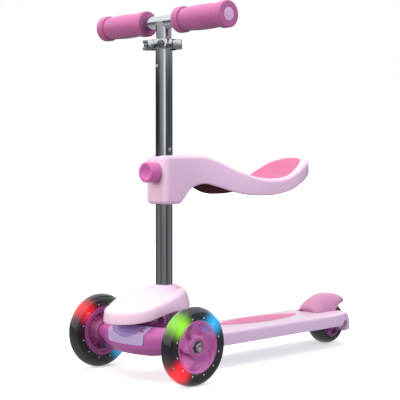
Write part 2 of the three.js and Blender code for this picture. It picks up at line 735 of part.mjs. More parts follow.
function mastTube() {
  const buttonHole = tube(buttonRadius + gap, 0, mastInner - 3, mastRadius + 3, small, alongZ,
    at(0, mastY, buttonZ).multiply(new THREE.Matrix4().makeRotationX(Math.PI / 2)));
  const screwHole = tube(1.8, 0, mastInner - 3, mastRadius + 3, small, alongX, at(0, mastY, mastScrewZ));
  const slit = block(-1, 1, mastY + 5, mastY + 30, mastTop - 32, mastTop + 1);
  return tube(mastRadius, mastInner, mastBottom, mastTop, round, alongZ, mastFoot)
    .subtract(joined([buttonHole, screwHole, slit]));
}
place('mast_tube', mastTube(), chrome);
place('mast_screw', turned([[0, mastInner - 2], [1.5, mastInner - 2], [1.5, mastRadius + gap],
  [2.8, mastRadius + gap], [2.4, mastRadius + 1.6], [0, mastRadius + 1.9]], small, alongX,
at(0, mastY, mastScrewZ)), chrome);

// The sprung button that locks the stem: a round nose in the mast's front hole.
function snapButton() {
  const inside = stemRadius + gap;
  return turned([[0, inside], [buttonRadius, inside], [buttonRadius, mastRadius + 0.8],
    [buttonRadius * 0.7, mastRadius + 1.8], [0, mastRadius + 2.1]], small, alongZ,
  at(0, mastY, buttonZ).multiply(new THREE.Matrix4().makeRotationX(Math.PI / 2)));
}
place('snap_button', snapButton(), chrome);

// ---- clamp at the top of the mast ---------------------------------------------------------------
const clampGroup = new THREE.Group();
clampGroup.position.set(0, mastY, clampBottom);
clampGroup.rotation.z = clampTurn;
scooter.add(clampGroup);
const clampInner = mastRadius + gap;
const clampOuter = clampInner + clampWall;
const clampMiddle = clampHeight / 2;
const boltRadius = 2.5;
const eyeHalf = 3;                  // half the height of the lug that holds the lever's pin

function clampHalf(front) {
  const sign = front ? -1 : 1;
  const near = sign * (clampSlit / 2);
  const far = sign * (clampSlit / 2 + clampPlate);
  const ys = [Math.min(near, far), Math.max(near, far)];
  const band = tube(clampOuter, 0, 0, clampHeight, round, alongZ, here);
  const half = band.intersect(block(-99, 99, Math.min(near, sign * 99), Math.max(near, sign * 99), -1, 99));
  const ears = [block(mastRadius, clampEar, ys[0], ys[1], 0, clampHeight),
    block(-clampEarShort, -mastRadius, ys[0], ys[1], 0, clampHeight)];
  const parts = [half, ...ears];
  const cuts = [tube(clampInner, 0, -9, 99, round, alongZ, here)];
  [clampBoltAt, -clampBoltAt].forEach((x) => {
    cuts.push(tube(boltRadius + gap / 2, 0, -20, 20, small, alongZ,
      at(x, 0, clampMiddle).multiply(new THREE.Matrix4().makeRotationX(Math.PI / 2))));
  });
  if (front) {
    cuts.push(tube(2.2, 0, 0, 30, small, alongZ,
      at(0, 0, clampMiddle).multiply(new THREE.Matrix4().makeRotationX(Math.PI / 2))));
  } else {
    parts.push(block(-leverPinAt, 2 - clampEarShort, ys[0], ys[1], clampMiddle - eyeHalf,
      clampMiddle + eyeHalf));
    parts.push(tube(4, 0, clampMiddle - eyeHalf, clampMiddle + eyeHalf, small, alongZ, leverPinLine));
    cuts.push(tube(1.5 + gap / 2, 0, -9, 99, small, alongZ, leverPinLine));
  }
  return joined(parts).subtract(joined(cuts));
}
const leverPinLine = at(-leverPinAt, clampSlit / 2 + clampPlate / 2, 0);
place('clamp_front', clampHalf(true), darkSteel, clampGroup);
place('clamp_rear', clampHalf(false), darkSteel, clampGroup);

const towardsFront = new THREE.Matrix4().makeRotationX(Math.PI / 2);
const plateFace = clampSlit / 2 + clampPlate;

function crossBolt(x, headRadius, headFacets, endBeyond) {
  const line = at(x, 0, clampMiddle).multiply(towardsFront);
  const shank = tube(boltRadius, 0, -plateFace - endBeyond, plateFace + 1, small, alongZ, line);
  const head = tube(headRadius, 0, plateFace + gap, plateFace + 3.2, headFacets, alongZ, line);
  return shank.add(head);
}
place('clamp_bolt', crossBolt(clampBoltAt, 4.2, 6, 4.6), chrome, clampGroup);
place('clamp_nut', tube(4.2, 0, -plateFace - 4.3, -plateFace - gap, 6, alongZ,
  at(clampBoltAt, 0, clampMiddle).multiply(towardsFront))
  .subtract(tube(boltRadius + gap / 2, 0, -30, 30, small, alongZ,
    at(clampBoltAt, 0, clampMiddle).multiply(towardsFront))), darkSteel, clampGroup);
place('clamp_rivet', crossBolt(-clampBoltAt, 3.6, 16, 1.6), chrome, clampGroup);

// The round stud on the front of the band.
place('clamp_stud', turned([[0, clampInner + 0.3], [1.9, clampInner + 0.3], [1.9, clampOuter + gap],
  [5.8, clampOuter + gap], [6.6, clampOuter + 1.4], [6.6, clampOuter + 3.4], [5.4, clampOuter + 4.6],
  [0, clampOuter + 4.2]], small, alongZ, at(0, 0, clampMiddle).multiply(towardsFront)), darkSteel,
clampGroup);

place('clamp_lever_pin', tube(1.5, 0, clampMiddle - 8, clampMiddle + 8, small, alongZ, leverPinLine), chrome,
  clampGroup);

// The lever: a fork over the pin and an arm that lies round the back of the mast.
function clampLever() {
  const arm = tube(leverArmRadius + leverArmThickness, leverArmRadius, 0, clampHeight, fine, alongZ, here)
    .intersect(block(-40, 16, 9, 60, -1, 99));
  const pin = clampSlit / 2 + clampPlate / 2;
  const bridge = block(-leverPinAt - 1.5, -leverPinAt + 1.6, pin, leverArmRadius - 8, 0, clampHeight);
  const back = block(-leverPinAt - 1.5, -17.5, leverArmRadius - 10.6, leverArmRadius - 8, 0, clampHeight);
  const fork = tube(4.2, 0, 0, clampHeight, small, alongZ, leverPinLine)
    .add(block(-leverPinAt - 6, -leverPinAt, pin - 2, pin + 2, 0, clampHeight));
  const eyeRoom = block(-leverPinAt - 9, -leverPinAt + 5.5, -9, pin + 4.4, clampMiddle - eyeHalf - gap,
    clampMiddle + eyeHalf + gap);
  const pinHole = tube(1.5 + gap / 2, 0, -9, 99, small, alongZ, leverPinLine);
  const bandRoom = tube(clampOuter + 1, 0, -1, 99, round, alongZ, here);
  return joined([arm, bridge, back, fork]).subtract(joined([eyeRoom, pinHole, bandRoom]));
}
place('clamp_lever', clampLever(), darkSteel, clampGroup);

// ---- handlebar ----------------------------------------------------------------------------------
const stemInner = stemRadius - stemWall;
const barInner = barRadius - barWall;
const barLine = at(0, mastY, barZ);

function stemTube() {
  const saddle = tube(barRadius + gap, 0, -40, 40, round, alongX, barLine);
  const above = block(-40, 40, mastY - 40, mastY + 40, barZ, barZ + 40);
  const slot = block(-buttonRadius - gap, buttonRadius + gap, mastY - 20, mastY - 5,
    buttonZ - stemTravel - buttonRadius - 1, buttonZ + buttonRadius + 1);
  return tube(stemRadius, stemInner, stemBottom, barZ, round, alongZ, mastFoot)
    .subtract(joined([saddle, above, slot]));
}
place('stem_tube', stemTube(), chrome);
place('stem_end_plug', turned([[0, stemBottom - 6], [stemRadius - 0.6, stemBottom - 6],
  [stemRadius, stemBottom - 5], [stemRadius, stemBottom - gap], [stemInner - gap, stemBottom - gap],
  [stemInner - gap, stemBottom + 8], [0, stemBottom + 8]], round, alongZ, mastFoot), rubber);
place('crossbar', tube(barRadius, barInner, -barHalfLength, barHalfLength, round, alongX, barLine), chrome);

function grip() {
  const bore = barRadius + gap;
  const body = gripStart + gripFlangeWidth;
  const end = gripEnd - gripFlangeWidth;
  const profile = [[bore, gripStart], [gripFlangeRadius - 1.5, gripStart],
    [gripFlangeRadius, gripStart + 1.5], [gripFlangeRadius, body - 1.5]];
  for (let k = 0; k <= 4; k += 1) {
    const share = k / 4;
    const swell = gripSwell * Math.sin(Math.PI * share);
    profile.push([gripRadius - 0.4 + swell, THREE.MathUtils.lerp(body + 1, end - 1, share)]);
  }
  profile.push([gripFlangeRadius, end + 1.5], [gripFlangeRadius, gripEnd - 2],
    [gripFlangeRadius - 2, gripEnd], [bore, gripEnd], [bore, gripStart]);
  return turned(profile, round, alongX, here);
}

function gripPlug() {
  return turned([[0, barHalfLength - 14], [barInner - gap, barHalfLength - 14],
    [barInner - gap, barHalfLength + gap], [barRadius, barHalfLength + gap], [barRadius, gripEnd - 1.5],
    [barRadius - 1.5, gripEnd], [0, gripEnd]], round, alongX, here);
}
[['left', 0], ['right', Math.PI]].forEach(([side, turn]) => {
  const end = new THREE.Group();
  end.position.set(0, mastY, barZ);
  end.rotation.z = turn;
  scooter.add(end);
  place(`grip_${side}`, grip(), deepPink, end);
  place(`grip_plug_${side}`, gripPlug(), palePink, end);
});

// ---- seat: a moulded saddle on a block that slides on the mast ----------------------------------
const seatTopLine = heightLine([[20, seatTop], [60, seatTop], [78, seatTop], [113, seatTop - 1],
  [131, seatTop - 6.5], [148, seatTop - 13.5], [167, seatTop - 22.5], [184, seatTop - 28.5],
  [204, seatTop - 35.5], [225, seatTop - 39.5],
  [250, seatTop - 40.5], [277, seatTop - 38.5], [303, seatTop - 30.5], [323, seatTop - 20.5],
  [346, seatTop - 9], [365, seatTop - 4.5], [seatEnd + 4, seatTop - 3.5]]);
const seatSkirtLine = heightLine([[20, seatBottom], [50, seatBottom], [60, seatBottom + 0.5],
  [68, seatBottom + 7], [78, seatBottom + 19], [95, seatBottom + 30], [112, seatBottom + 33],
  [129, seatBottom + 29], [146, seatBottom + 24], [165, seatBottom + 18],
  [194, seatBottom + 12.5], [225, seatBottom + 11],
  [263, seatBottom + 13], [303, seatBottom + 22], [326, seatBottom + 32], [350, seatBottom + 39],
  [seatEnd + 4, seatBottom + 42]]);
const seatSpread = 240;             // where the saddle reaches its full width
const seatRound = 300;              // where its rear end starts to round off

function seatPlan(y) {
  const width = THREE.MathUtils.lerp(seatBlockHalfWidth, seatHalfWidth, smooth(70, seatSpread, y));
  if (y <= seatRound) return width;
  const share = Math.min(1, (y - seatRound) / (seatEnd - seatRound));
  return width * Math.sqrt(Math.max(0, 1 - share * share));
}

// How far the middle of the seat lies below its rim.
function seatDish(x, y) {
  const across = 1 - Math.min(1, Math.abs(x) / Math.max(seatPlan(y), 1)) ** 2;
  return 7 * across * smooth(150, 230, y) * (1 - smooth(seatEnd - 60, seatEnd, y));
}

const seatStations = [];
for (let y = 60; y < seatRound; y += 16) seatStations.push(y);
for (let k = 0; k <= 6; k += 1) {
  seatStations.push(seatRound + (seatEnd - seatRound) * Math.sin((Math.PI / 2) * (k / 6) * 0.955));
}

// A ring across the seat at y, moved in by inset: over the dished top, then down and under.
function seatRing(y, inset, sink, lift) {
  const half = Math.max(1.2, seatPlan(y) - inset);
  const edge = Math.min(5, half / 2);
  const ring = [];
  const across = 6;
  for (let k = 0; k <= across; k += 1) {
    const x = (half - edge) * (1 - (2 * k) / across);
    ring.push([x, y, seatTopLine(y) - seatDish(x, y) - sink]);
  }
  const rimZ = seatTopLine(y) - sink;
  const foot = seatSkirtLine(y) + lift;
  ring.push([-half + edge * 0.3, y, rimZ - edge * 0.3], [-half, y, rimZ - edge], [-half, y, foot]);
  ring.push([half, y, foot], [half, y, rimZ - edge], [half - edge * 0.3, y, rimZ - edge * 0.3]);
  return ring;
}

function seatShell() {
  const saddle = lofted(seatStations.map((y) => seatRing(y, 0, 0, 0)));
  const inside = seatStations.filter((y) => y > 118 && y < seatEnd - 7);
  const hollow = lofted(inside.map((y) => seatRing(y, seatWall, seatWall, -30)));
  const head = [[-seatBlockHalfWidth, seatFront], [seatBlockHalfWidth, seatFront],
    [seatBlockHalfWidth, 62], [-seatBlockHalfWidth, 62]];
  const blockBody = raised(head, seatBottom, seatTop, 4);
  const bore = tube(seatBushRadius + gap, 0, 0, 999, round, alongZ, mastFoot);
  const pinHole = tube(knobPinRadius + gap, 0, seatFront - 9 - mastY, -mastInner, small, alongY,
    at(0, mastY, knobZ));
  const bed = seatPad(gap, 30);
  return joined([saddle.subtract(hollow), blockBody]).subtract(joined([bore, pinHole, bed]));
}

const seatBushRadius = mastRadius + gap + 2.5;
const padStations = [];
for (let k = 0; k <= 12; k += 1) {
  const eased = 0.5 - 0.5 * Math.cos(Math.PI * (0.03 + (0.94 * k) / 12));
  padStations.push(THREE.MathUtils.lerp(padStart, seatEnd - padInset, eased));
}

// The soft pad: its plan keeps a rim inset all round; top tells how far it reaches above its bed.
function seatPad(slack, top) {
  const rings = padStations.map((y) => {
    const share = (y - padStart) / (seatEnd - padInset - padStart);
    const nose = Math.sqrt(Math.min(1, share / 0.3) * (2 - Math.min(1, share / 0.3)));
    const tail = Math.max(0, seatPlan(y + padInset * smooth(seatRound - 40, seatEnd, y)) - padInset);
    const half = Math.max(3, Math.min(seatPlan(y) - padInset, tail) * nose) + slack;
    const ring = [];
    for (let k = 0; k <= 8; k += 1) {
      const x = half * (1 - (2 * k) / 8);
      ring.push([x, y, seatTopLine(y) - seatDish(x, y) - padSink + top]);
    }
    for (let k = 8; k >= 0; k -= 1) {
      const x = half * (1 - (2 * k) / 8);
      ring.push([x, y, seatTopLine(y) - seatDish(x, y) - padThickness - padSink + 2.2 - slack]);
    }
    return ring;
  });
  return lofted(rings);
}
place('seat_shell', seatShell(), palePink);
place('seat_pad', seatPad(0, 0), rosePink);
const bushRecess = 6;               // the seat's bush ends this far inside its block
const bushSleeve = tube(seatBushRadius, mastRadius + gap, seatBottom + bushRecess, seatTop - bushRecess,
  round, alongZ, mastFoot);
const bushPinHole = tube(knobPinRadius + gap, 0, -40, 0, small, alongY, at(0, mastY, knobZ));
place('seat_bush', bushSleeve.subtract(bushPinHole), rubber);

// The sprung knob on the front of the block, with its pin behind it.
function seatKnob() {
  const face = knobLength + 1;
  const pinEnd = seatFront - (mastY - mastRadius) + 0.6;
  return turned([[0, pinEnd], [knobPinRadius, pinEnd], [knobPinRadius, 0.6], [9, 0.6], [9, 3],
    [knobRadius - 1.5, 3], [knobRadius, 4.5], [knobRadius, face - 1.5], [knobRadius - 1.5, face],
    [knobRadius - 4, face],
    [knobRadius - 6, face - 2], [0, face - 3.4]], round, alongZ,
  at(0, seatFront, knobZ).multiply(towardsFront));
}
place('seat_knob', seatKnob(), deepPink);

// ---- rear brake ---------------------------------------------------------------------------------
const fromAxle = (points) => heightLine(points.map(([y, z]) => [wheelbase + y, z]));
const brakeTopLine = fromAxle([[-59, 70], [-55, 77], [-49, 82.5], [-39, 89], [-24, 95.5], [-3, 97],
  [15, 95], [31, 90], [43, 84]]);
const brakeEdgeLine = fromAxle([[-59, 61], [-8, 61], [0, 68], [11, 75.5], [27, 77.5], [43, 77.5]]);
const brakeNoseLength = 14;         // the fender reaches its full width over this length
const brakeBarrelRadius = 6;

function brakeRing(y, inset) {
  const tipShare = THREE.MathUtils.clamp((y - wheelbase) / (brakeTip - wheelbase), 0, 1);
  const noseShare = THREE.MathUtils.clamp((brakeFront - y) / brakeNoseLength + 1, 0, 1);
  const narrowed = Math.sqrt(1 - (0.985 * tipShare) ** 2) * Math.sqrt(1 - (0.6 * noseShare) ** 2);
  const half = (brakeHalfWidth - inset) * narrowed;
  const crown = brakeTopLine(y) - inset;
  const edge = Math.min(brakeEdgeLine(y), crown - 1.5 + inset) - (inset > 0 ? 8 : 0);
  const ring = [];
  for (let k = 0; k <= 10; k += 1) {
    const turn = Math.PI * (k / 10);
    const rise = Math.sin(turn) ** 0.7;
    ring.push([half * Math.cos(turn), y, THREE.MathUtils.lerp(edge, crown, rise)]);
  }
  for (let k = 1; k < 4; k += 1) ring.push([half * ((2 * k) / 4 - 1), y, edge]);
  return ring;
}

const brakeStations = [0, 3, 8, 16, 26, 39, 52, 62, 74, 85, 93, 98].map((run) => brakeFront + run);
brakeStations.push(brakeTip);

function brakeFender() {
  const skin = lofted(brakeStations.map((y) => brakeRing(y, 0)));
  const inside = [brakeFront + brakeWall, ...brakeStations.slice(2, -3)];
  const hollow = lofted(inside.map((y) => brakeRing(y, brakeWall)));
  const tongueHalf = slotHalfWidth - 1.2;
  const tongueFront = brakePinY - brakeBarrelRadius;
  const tongueBack = brakePinY + brakeBarrelRadius;
  const tongue = block(-tongueHalf, tongueHalf, tongueFront, tongueBack, brakePinZ, 60)
    .add(block(-14, 14, tongueFront, tongueBack, brakePinZ, 73))
    .add(tube(brakeBarrelRadius, 0, -tongueHalf, tongueHalf, small, alongX, brakePinLine));
  const pinHole = tube(brakePinRadius + gap / 2, 0, -99, 99, small, alongX, brakePinLine);
  return joined([skin.subtract(hollow), tongue]).subtract(pinHole);
}
place('brake_fender', brakeFender(), deepPink);
place('brake_pin', tube(brakePinRadius, 0, gap - brakePinHalf, brakePinHalf - gap, small, alongX,
  brakePinLine), chrome);

// The pad under the fender, hollowed to the tyre.
function brakePad() {
  const y0 = wheelbase - 23;
  const y1 = wheelbase - 1;
  const hollow = tube(rearWheelRadius + brakeLift, 0, -40, 40, fine, alongX, rearAxle);
  const roof = lofted([-33, -18, -5, 5, 17].map((run) => brakeRing(wheelbase + run, brakeWall + gap)));
  return block(-8, 8, y0, y1, 60, 120).intersect(roof.add(block(-8, 8, y0, y1, 60, 84))).subtract(hollow);
}
place('brake_pad', brakePad(), rubber);

// ---- the part's own frame: centred on its footprint, standing on the ground ---------------------
const frontmost = baseY - baseHalfLength;
const rearmost = brakeTip;
scooter.position.y = -(frontmost + rearmost) / 2;

export default scooter;
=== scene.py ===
import math

import bmesh
import bpy
import numpy as np
from mathutils import Matrix, Vector


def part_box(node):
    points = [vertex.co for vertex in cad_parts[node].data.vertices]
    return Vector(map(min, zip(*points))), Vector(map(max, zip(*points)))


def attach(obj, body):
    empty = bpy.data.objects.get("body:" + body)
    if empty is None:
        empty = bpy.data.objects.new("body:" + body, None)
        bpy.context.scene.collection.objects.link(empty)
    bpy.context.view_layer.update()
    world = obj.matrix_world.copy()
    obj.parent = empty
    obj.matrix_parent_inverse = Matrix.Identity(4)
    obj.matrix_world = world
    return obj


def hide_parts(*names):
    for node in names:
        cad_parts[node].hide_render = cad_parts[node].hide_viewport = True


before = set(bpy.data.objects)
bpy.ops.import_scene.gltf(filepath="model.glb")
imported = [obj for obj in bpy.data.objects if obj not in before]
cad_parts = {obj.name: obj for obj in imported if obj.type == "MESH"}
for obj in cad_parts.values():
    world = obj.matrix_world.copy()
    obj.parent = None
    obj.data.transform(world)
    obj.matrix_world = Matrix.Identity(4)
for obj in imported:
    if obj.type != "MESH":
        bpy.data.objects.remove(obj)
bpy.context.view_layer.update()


# ---- Deck ---------------------------------------------------------------------------------------
# The standing board is one polypropylene moulding, hollow and ribbed below, with a crowned top. Its two
# rear arms stand either side of the wheel and draw in to round lugs, drilled for the axle.
MM = 0.001
tyre_low, tyre_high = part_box("tyre_left")
AXLE_Y = (tyre_low.y + tyre_high.y) / 2     # every piece is laid out in mm from below the front axle
DECK_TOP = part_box("deck_shell")[1].z / MM
DECK_DEPTH = 25.5
DECK_BOTTOM = DECK_TOP - DECK_DEPTH
DECK_HALF = 54
TONGUE_HALF = 32                            # the narrow tongue under the stem base
TONGUE_START = 50
SHOULDER = (96, 136)                        # where the tongue widens to the board
ARM_START = 404
ARM_INSIDE = 27
ROLL_START = 461                            # where an arm's top starts to roll over
LUG_START = 455                             # where its underside starts to drop to the lug
ARM_END = 484
TAIL_START = 425
TAIL_HALF = 41
DECK_WALL = 4
DECK_SKIN = 6
RIB_WIDTH = 3
RIB_GAP = 49
CROWN_FLAT = 30                             # half the flat middle, beyond which the top falls away
CROWN_RUN = 19
CROWN_FALL = 2.6
EDGE_ROUND = 4.5
REAR_AXLE = (463, 40)
LUG_RADIUS = 12


def smooth(low, high, value):
    """0 below low, 1 above high, and a soft step between."""
    share = np.clip((np.asarray(value, float) - low) / (high - low), 0, 1)
    return share * share * (3 - 2 * share)


def blend(a, b, share):
    return a + (b - a) * share


def loft(rings, loop=False, caps=True):
    """The skin over rings of equal length. loop joins the last ring to the first one."""
    rings = np.asarray(rings, float)
    rows, count = rings.shape[:2]
    faces = []
    for k in range(rows if loop else rows - 1):
        here, there = k * count, (k + 1) % rows * count
        for i in range(count):
            after = (i + 1) % count
            faces.append((here + i, here + after, there + after, there + i))
    if caps and not loop:
        faces.append(tuple(range(count)))
        faces.append(tuple(range((rows - 1) * count, rows * count)))
    return rings.reshape(-1, 3), faces


def rounded(outline, radius, steps=4):
    """A closed outline with its corners rounded. radius is one size, or one for each corner."""
    corners = [np.array(p, float) for p in outline]
    sizes = list(radius) if hasattr(radius, "__len__") else [radius] * len(corners)
    points = []
    for k, corner in enumerate(corners):
        if sizes[k] <= 0:
            points.append(corner)
            continue
        ends = []
        for other in (corners[k - 1], corners[(k + 1) % len(corners)]):
            reach = np.linalg.norm(other - corner)
            ends.append(corner + (other - corner) * min(sizes[k], 0.49 * reach) / max(reach, 1e-9))
        for t in np.linspace(0, 1, steps + 1):
            points.append((1 - t) ** 2 * ends[0] + 2 * t * (1 - t) * corner + t * t * ends[1])
    return np.array(points)


def inset(outline, amount):
    """A closed outline moved inwards."""
    outline = np.asarray(outline, float)
    after = np.roll(outline, -1, 0)
    area = np.sum(outline[:, 0] * after[:, 1] - after[:, 0] * outline[:, 1])
    along = after - outline
    along /= np.maximum(np.linalg.norm(along, axis=1), 1e-9)[:, None]
    inward = np.stack([-along[:, 1], along[:, 0]], 1) * np.sign(area)
    before = np.roll(inward, 1, 0)
    open_by = np.maximum(1 + np.sum(inward * before, 1), 0.3)[:, None]
    return outline + amount * (inward + before) / open_by


def plate(outline, low, high, edge=0.6, steps=3):
    """A slab with this outline, from low to high along Z, its edges rounded."""
    turns = np.linspace(0, math.pi / 2, steps + 1)
    levels = [(edge * (1 - math.sin(t)), low + edge * (1 - math.cos(t))) for t in turns]
    levels += [(edge * (1 - math.cos(t)), high - edge * (1 - math.sin(t))) for t in turns]
    return loft([[(x, y, z) for x, y in inset(outline, amount)] for amount, z in levels])


def rectangle(left, low, right, high):
    return [(left, low), (right, low), (right, high), (left, high)]


def full_turn(count):
    """The angles of this many even steps round a circle."""
    return np.linspace(0, 2 * math.pi, count, endpoint=False)


def arc(radius, turns):
    return [(radius * math.cos(t), radius * math.sin(t)) for t in turns]


def lathe(profile, facets=72, loop=True):
    """A profile of (radius, height) turned about Z. loop closes the profile on itself."""
    turns = full_turn(facets)
    return loft([[(x, y, z) for x, y in arc(radius, turns)] for radius, z in profile], loop, False)


def moved(part, matrix):
    points, faces = part
    matrix = np.array(matrix)
    return points @ matrix[:3, :3].T + matrix[:3, 3], faces


def joined(*parts):
    points, faces, start = [], [], 0
    for p, f in parts:
        points.append(p)
        faces += [tuple(i + start for i in face) for face in f]
        start += len(p)
    return np.concatenate(points), faces


def build(name, part, *finishes, looks=None, sharp=38):
    """The mesh object of a part. looks says which finish each face has."""
    points, faces = part
    mesh = bpy.data.meshes.new(name)
    mesh.from_pydata((points * MM + (0, AXLE_Y, 0)).tolist(), [], faces)
    for finish in finishes:
        mesh.materials.append(finish)
    if looks is not None:
        mesh.polygons.foreach_set("material_index", looks)
    shape = bmesh.new()
    shape.from_mesh(mesh)
    bmesh.ops.remove_doubles(shape, verts=shape.verts, dist=2e-6)
    bmesh.ops.recalc_face_normals(shape, faces=shape.faces)
    shape.to_mesh(mesh)
    shape.free()
    mesh.shade_smooth()
    mesh.set_sharp_from_angle(angle=math.radians(sharp))
    piece = bpy.data.objects.new(name, mesh)
    bpy.context.scene.collection.objects.link(piece)
    return piece


def cut(piece, *tools, sharp=38):
    """Takes solids away from a piece."""
    tool = build("tool", joined(*tools))
    step = piece.modifiers.new("cut", "BOOLEAN")
    step.object = tool
    step.solver = "EXACT"
    step.use_self = True
    shown = piece.evaluated_get(bpy.context.evaluated_depsgraph_get())
    mesh = bpy.data.meshes.new_from_object(shown)
    piece.modifiers.clear()
    piece.data = mesh
    mesh.set_sharp_from_angle(angle=math.radians(sharp))
    bpy.data.objects.remove(tool)


def fit(piece, body, slot, *nodes):
    """Puts a piece on its body and hides the frame nodes it stands for, if any. slot is not used."""
    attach(piece, body)
    if nodes:
        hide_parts(*nodes)


ALONG_X = Matrix.Rotation(math.pi / 2, 4, "Y")
TO_FRONT = Matrix.Rotation(math.pi / 2, 4, "X")


def outward(sign):
    """Turns Z out to the left (1) or to the right (-1)."""
    return Matrix.Rotation(sign * math.pi / 2, 4, "Y")


def at(x, y, z):
    return Matrix.Translation((x, y, z))


def linear(colour):
    """An sRGB hex colour as the linear values that a shader takes."""
    values = [int(colour[i:i + 2], 16) / 255 for i in (1, 3, 5)]
    return [v / 12.92 if v <= 0.04045 else ((v + 0.055) / 1.055) ** 2.4 for v in values] + [1]


def add(tree, kind, inputs=None, **settings):
    """A shader node, with its settings, and its inputs as values or as other nodes' sockets."""
    node = tree.nodes.new("ShaderNode" + kind)
    for name, value in settings.items():
        setattr(node, name, value)
    for name, value in (inputs or {}).items():
        if isinstance(value, bpy.types.NodeSocket):
            tree.links.new(value, node.inputs[name])
        else:
            node.inputs[name].default_value = value
    return node


def new_finish(name):
    """An empty material: the material, its node tree and the object's own coordinates."""
    finish = bpy.data.materials.new(name)
    finish.use_nodes = True
    finish.node_tree.nodes.clear()
    return finish, finish.node_tree, add(finish.node_tree, "TexCoord").outputs["Object"]


def show(tree, shader):
    add(tree, "OutputMaterial", {"Surface": shader.outputs[0]})


def two_tints(tree, place, colour, tint, scale, detail):
    """A cloudy drift, and the colour that it gives between two tints."""
    drift = add(tree, "TexNoise", {"Vector": place, "Scale": scale, "Detail": detail}).outputs["Fac"]
    colours = add(tree, "Mix", {"Factor": drift, "A": linear(colour), "B": linear(tint)}, data_type="RGBA")
    return drift, colours.outputs["Result"]


def moulded(name, colour, tint, roughness, grain=0.9, depth=0.00002, coat=0.25, glow=None):
    """A glossy injection moulding: a faint drift between two tints, and a surface that ripples very
    slightly, with grain mm between the ripples, so that highlights are never ruler straight."""
    finish, tree, place = new_finish(name)
    drift, colours = two_tints(tree, place, colour, tint, 9, 2)
    ripple = add(tree, "TexNoise", {"Vector": place, "Scale": 1 / (grain * MM), "Detail": 3})
    bump = add(tree, "Bump", {"Height": ripple.outputs["Fac"], "Distance": depth, "Strength": 0.5})
    wipe = add(tree, "MapRange", {"Value": drift, "To Min": roughness - 0.04, "To Max": roughness + 0.05})
    shader = add(tree, "BsdfPrincipled", {
        "Base Color": colours, "Roughness": wipe.outputs["Result"], "IOR": 1.49,
        "Coat Weight": coat, "Coat Roughness": 0.12, "Normal": bump.outputs["Normal"]})
    # glow paints LED light onto the moulding as emission: a painted glow, for the moulding is no lamp.
    if glow is not None:
        light = glow(tree, place)
        tree.links.new(light, shader.inputs["Emission Color"])
        shader.inputs["Emission Strength"].default_value = 0.5
    show(tree, shader)
    return finish


def crown(x):
    """How high the standing surface is at x: flat in the middle, falling away to its edges."""
    return DECK_TOP - CROWN_FALL * (np.maximum(np.abs(x) - CROWN_FLAT, 0) / CROWN_RUN) ** 1.6


def deck_half(y):
    half = blend(TONGUE_HALF, DECK_HALF, smooth(*SHOULDER, y))
    drawn = max(0, (y - TAIL_START) / (ARM_END - TAIL_START)) ** 1.7
    return blend(half, TAIL_HALF, drawn)


def deck_ring(y):
    half = deck_half(y)
    inner = half - DECK_WALL
    roof = DECK_TOP - DECK_SKIN
    across = np.linspace(-half + 5, half - 5, 25)
    outline = [(-half, DECK_BOTTOM), (-half, crown(half) + 0.4)]
    outline += [(x, crown(x)) for x in across]
    outline += [(half, crown(half) + 0.4), (half, DECK_BOTTOM), (inner, DECK_BOTTOM)]
    outline += [(inner, roof), (-inner, roof), (-inner, DECK_BOTTOM)]
    radii = [1, EDGE_ROUND] + [0] * 25 + [EDGE_ROUND, 1, 1, 2, 2, 1]
    return [(x, y, z) for x, z in rounded(outline, radii)]


def arm_ring(y, sign):
    """A rear arm's section: its top rolls over at the end and its underside drops to the round lug."""
    half = deck_half(y)
    roll = 17 * max(0, (y - ROLL_START) / (ARM_END - ROLL_START)) ** 2.4
    drop = LUG_RADIUS * smooth(LUG_START, LUG_START + 7, y) * 0.95
    foot = DECK_BOTTOM - drop
    across = np.linspace(ARM_INSIDE + 1.5, half - 5, 9)
    outline = [(ARM_INSIDE, foot), (ARM_INSIDE, DECK_TOP - roll)]
    outline += [(x, crown(x) - roll) for x in across]
    outline += [(half, crown(half) + 0.4 - roll), (half, foot)]
    radii = [1.5, 1.2] + [0] * 9 + [EDGE_ROUND, 1.5]
    return [(sign * x, y, z) for x, z in rounded(outline, radii)]


pale_plastic = moulded("pale_pink_polypropylene", "#F8DAE9", "#F6D7E7", 0.3)
deck_plastic = moulded("lilac_polypropylene", "#F2DCEC", "#F0D9EA", 0.3)

deck_stations = [TONGUE_START, *np.linspace(SHOULDER[0] - 4, SHOULDER[1] + 4, 17), 200, 260, 320, ARM_START]
arm_stations = [ARM_START, 408, 412, TAIL_START, *np.linspace(432, ARM_END - 4, 17), 482, 483.3, ARM_END]
deck_parts = [loft([deck_ring(y) for y in deck_stations])]
rib_span = (DECK_BOTTOM + 1, DECK_TOP - 5)
for y in np.arange(SHOULDER[1], ARM_START, RIB_GAP):
    deck_parts.append(plate(rectangle(-DECK_HALF + 5, y, DECK_HALF - 5, y + RIB_WIDTH), *rib_span))
deck_parts.append(plate(rectangle(-1.6, SHOULDER[0], 1.6, ARM_START), *rib_span))
deck = build("deck", joined(*deck_parts), deck_plastic)
fit(deck, "deck", "pale_plastic", "deck_shell")

RECESS_FROM = 35                            # the rear axle's head and nut lie this far out
RECESS_RADIUS = 8.5
RECESS_PAST = 70                            # the cut runs out past the arm
for side, sign in (("left", 1), ("right", -1)):
    lug_place = at(0, *REAR_AXLE) @ outward(sign)
    arm = build("deck_arm_" + side, loft([arm_ring(y, sign) for y in arm_stations]), deck_plastic)
    cut(arm, moved(lathe(rectangle(0, RECESS_FROM, RECESS_RADIUS, RECESS_PAST), 48, False), lug_place))
    fit(arm, "deck", "pale_plastic")
    boss = rounded([(4, 19), (6.5, 19), (8, ARM_INSIDE + 1), (4, ARM_INSIDE + 1)], 0.6)
    collar = build("deck_boss_" + side, moved(lathe(boss, 40), lug_place), deck_plastic)
    fit(collar, "deck", "pale_plastic")


# ---- Grip inlay ---------------------------------------------------------------------------------
# A leaf-shaped mat of thermoplastic rubber, moulded over the middle of the deck for grip. It is matt, and a
# fine pebble runs all over it.
INLAY = (168, 377)
INLAY_HALF = 30


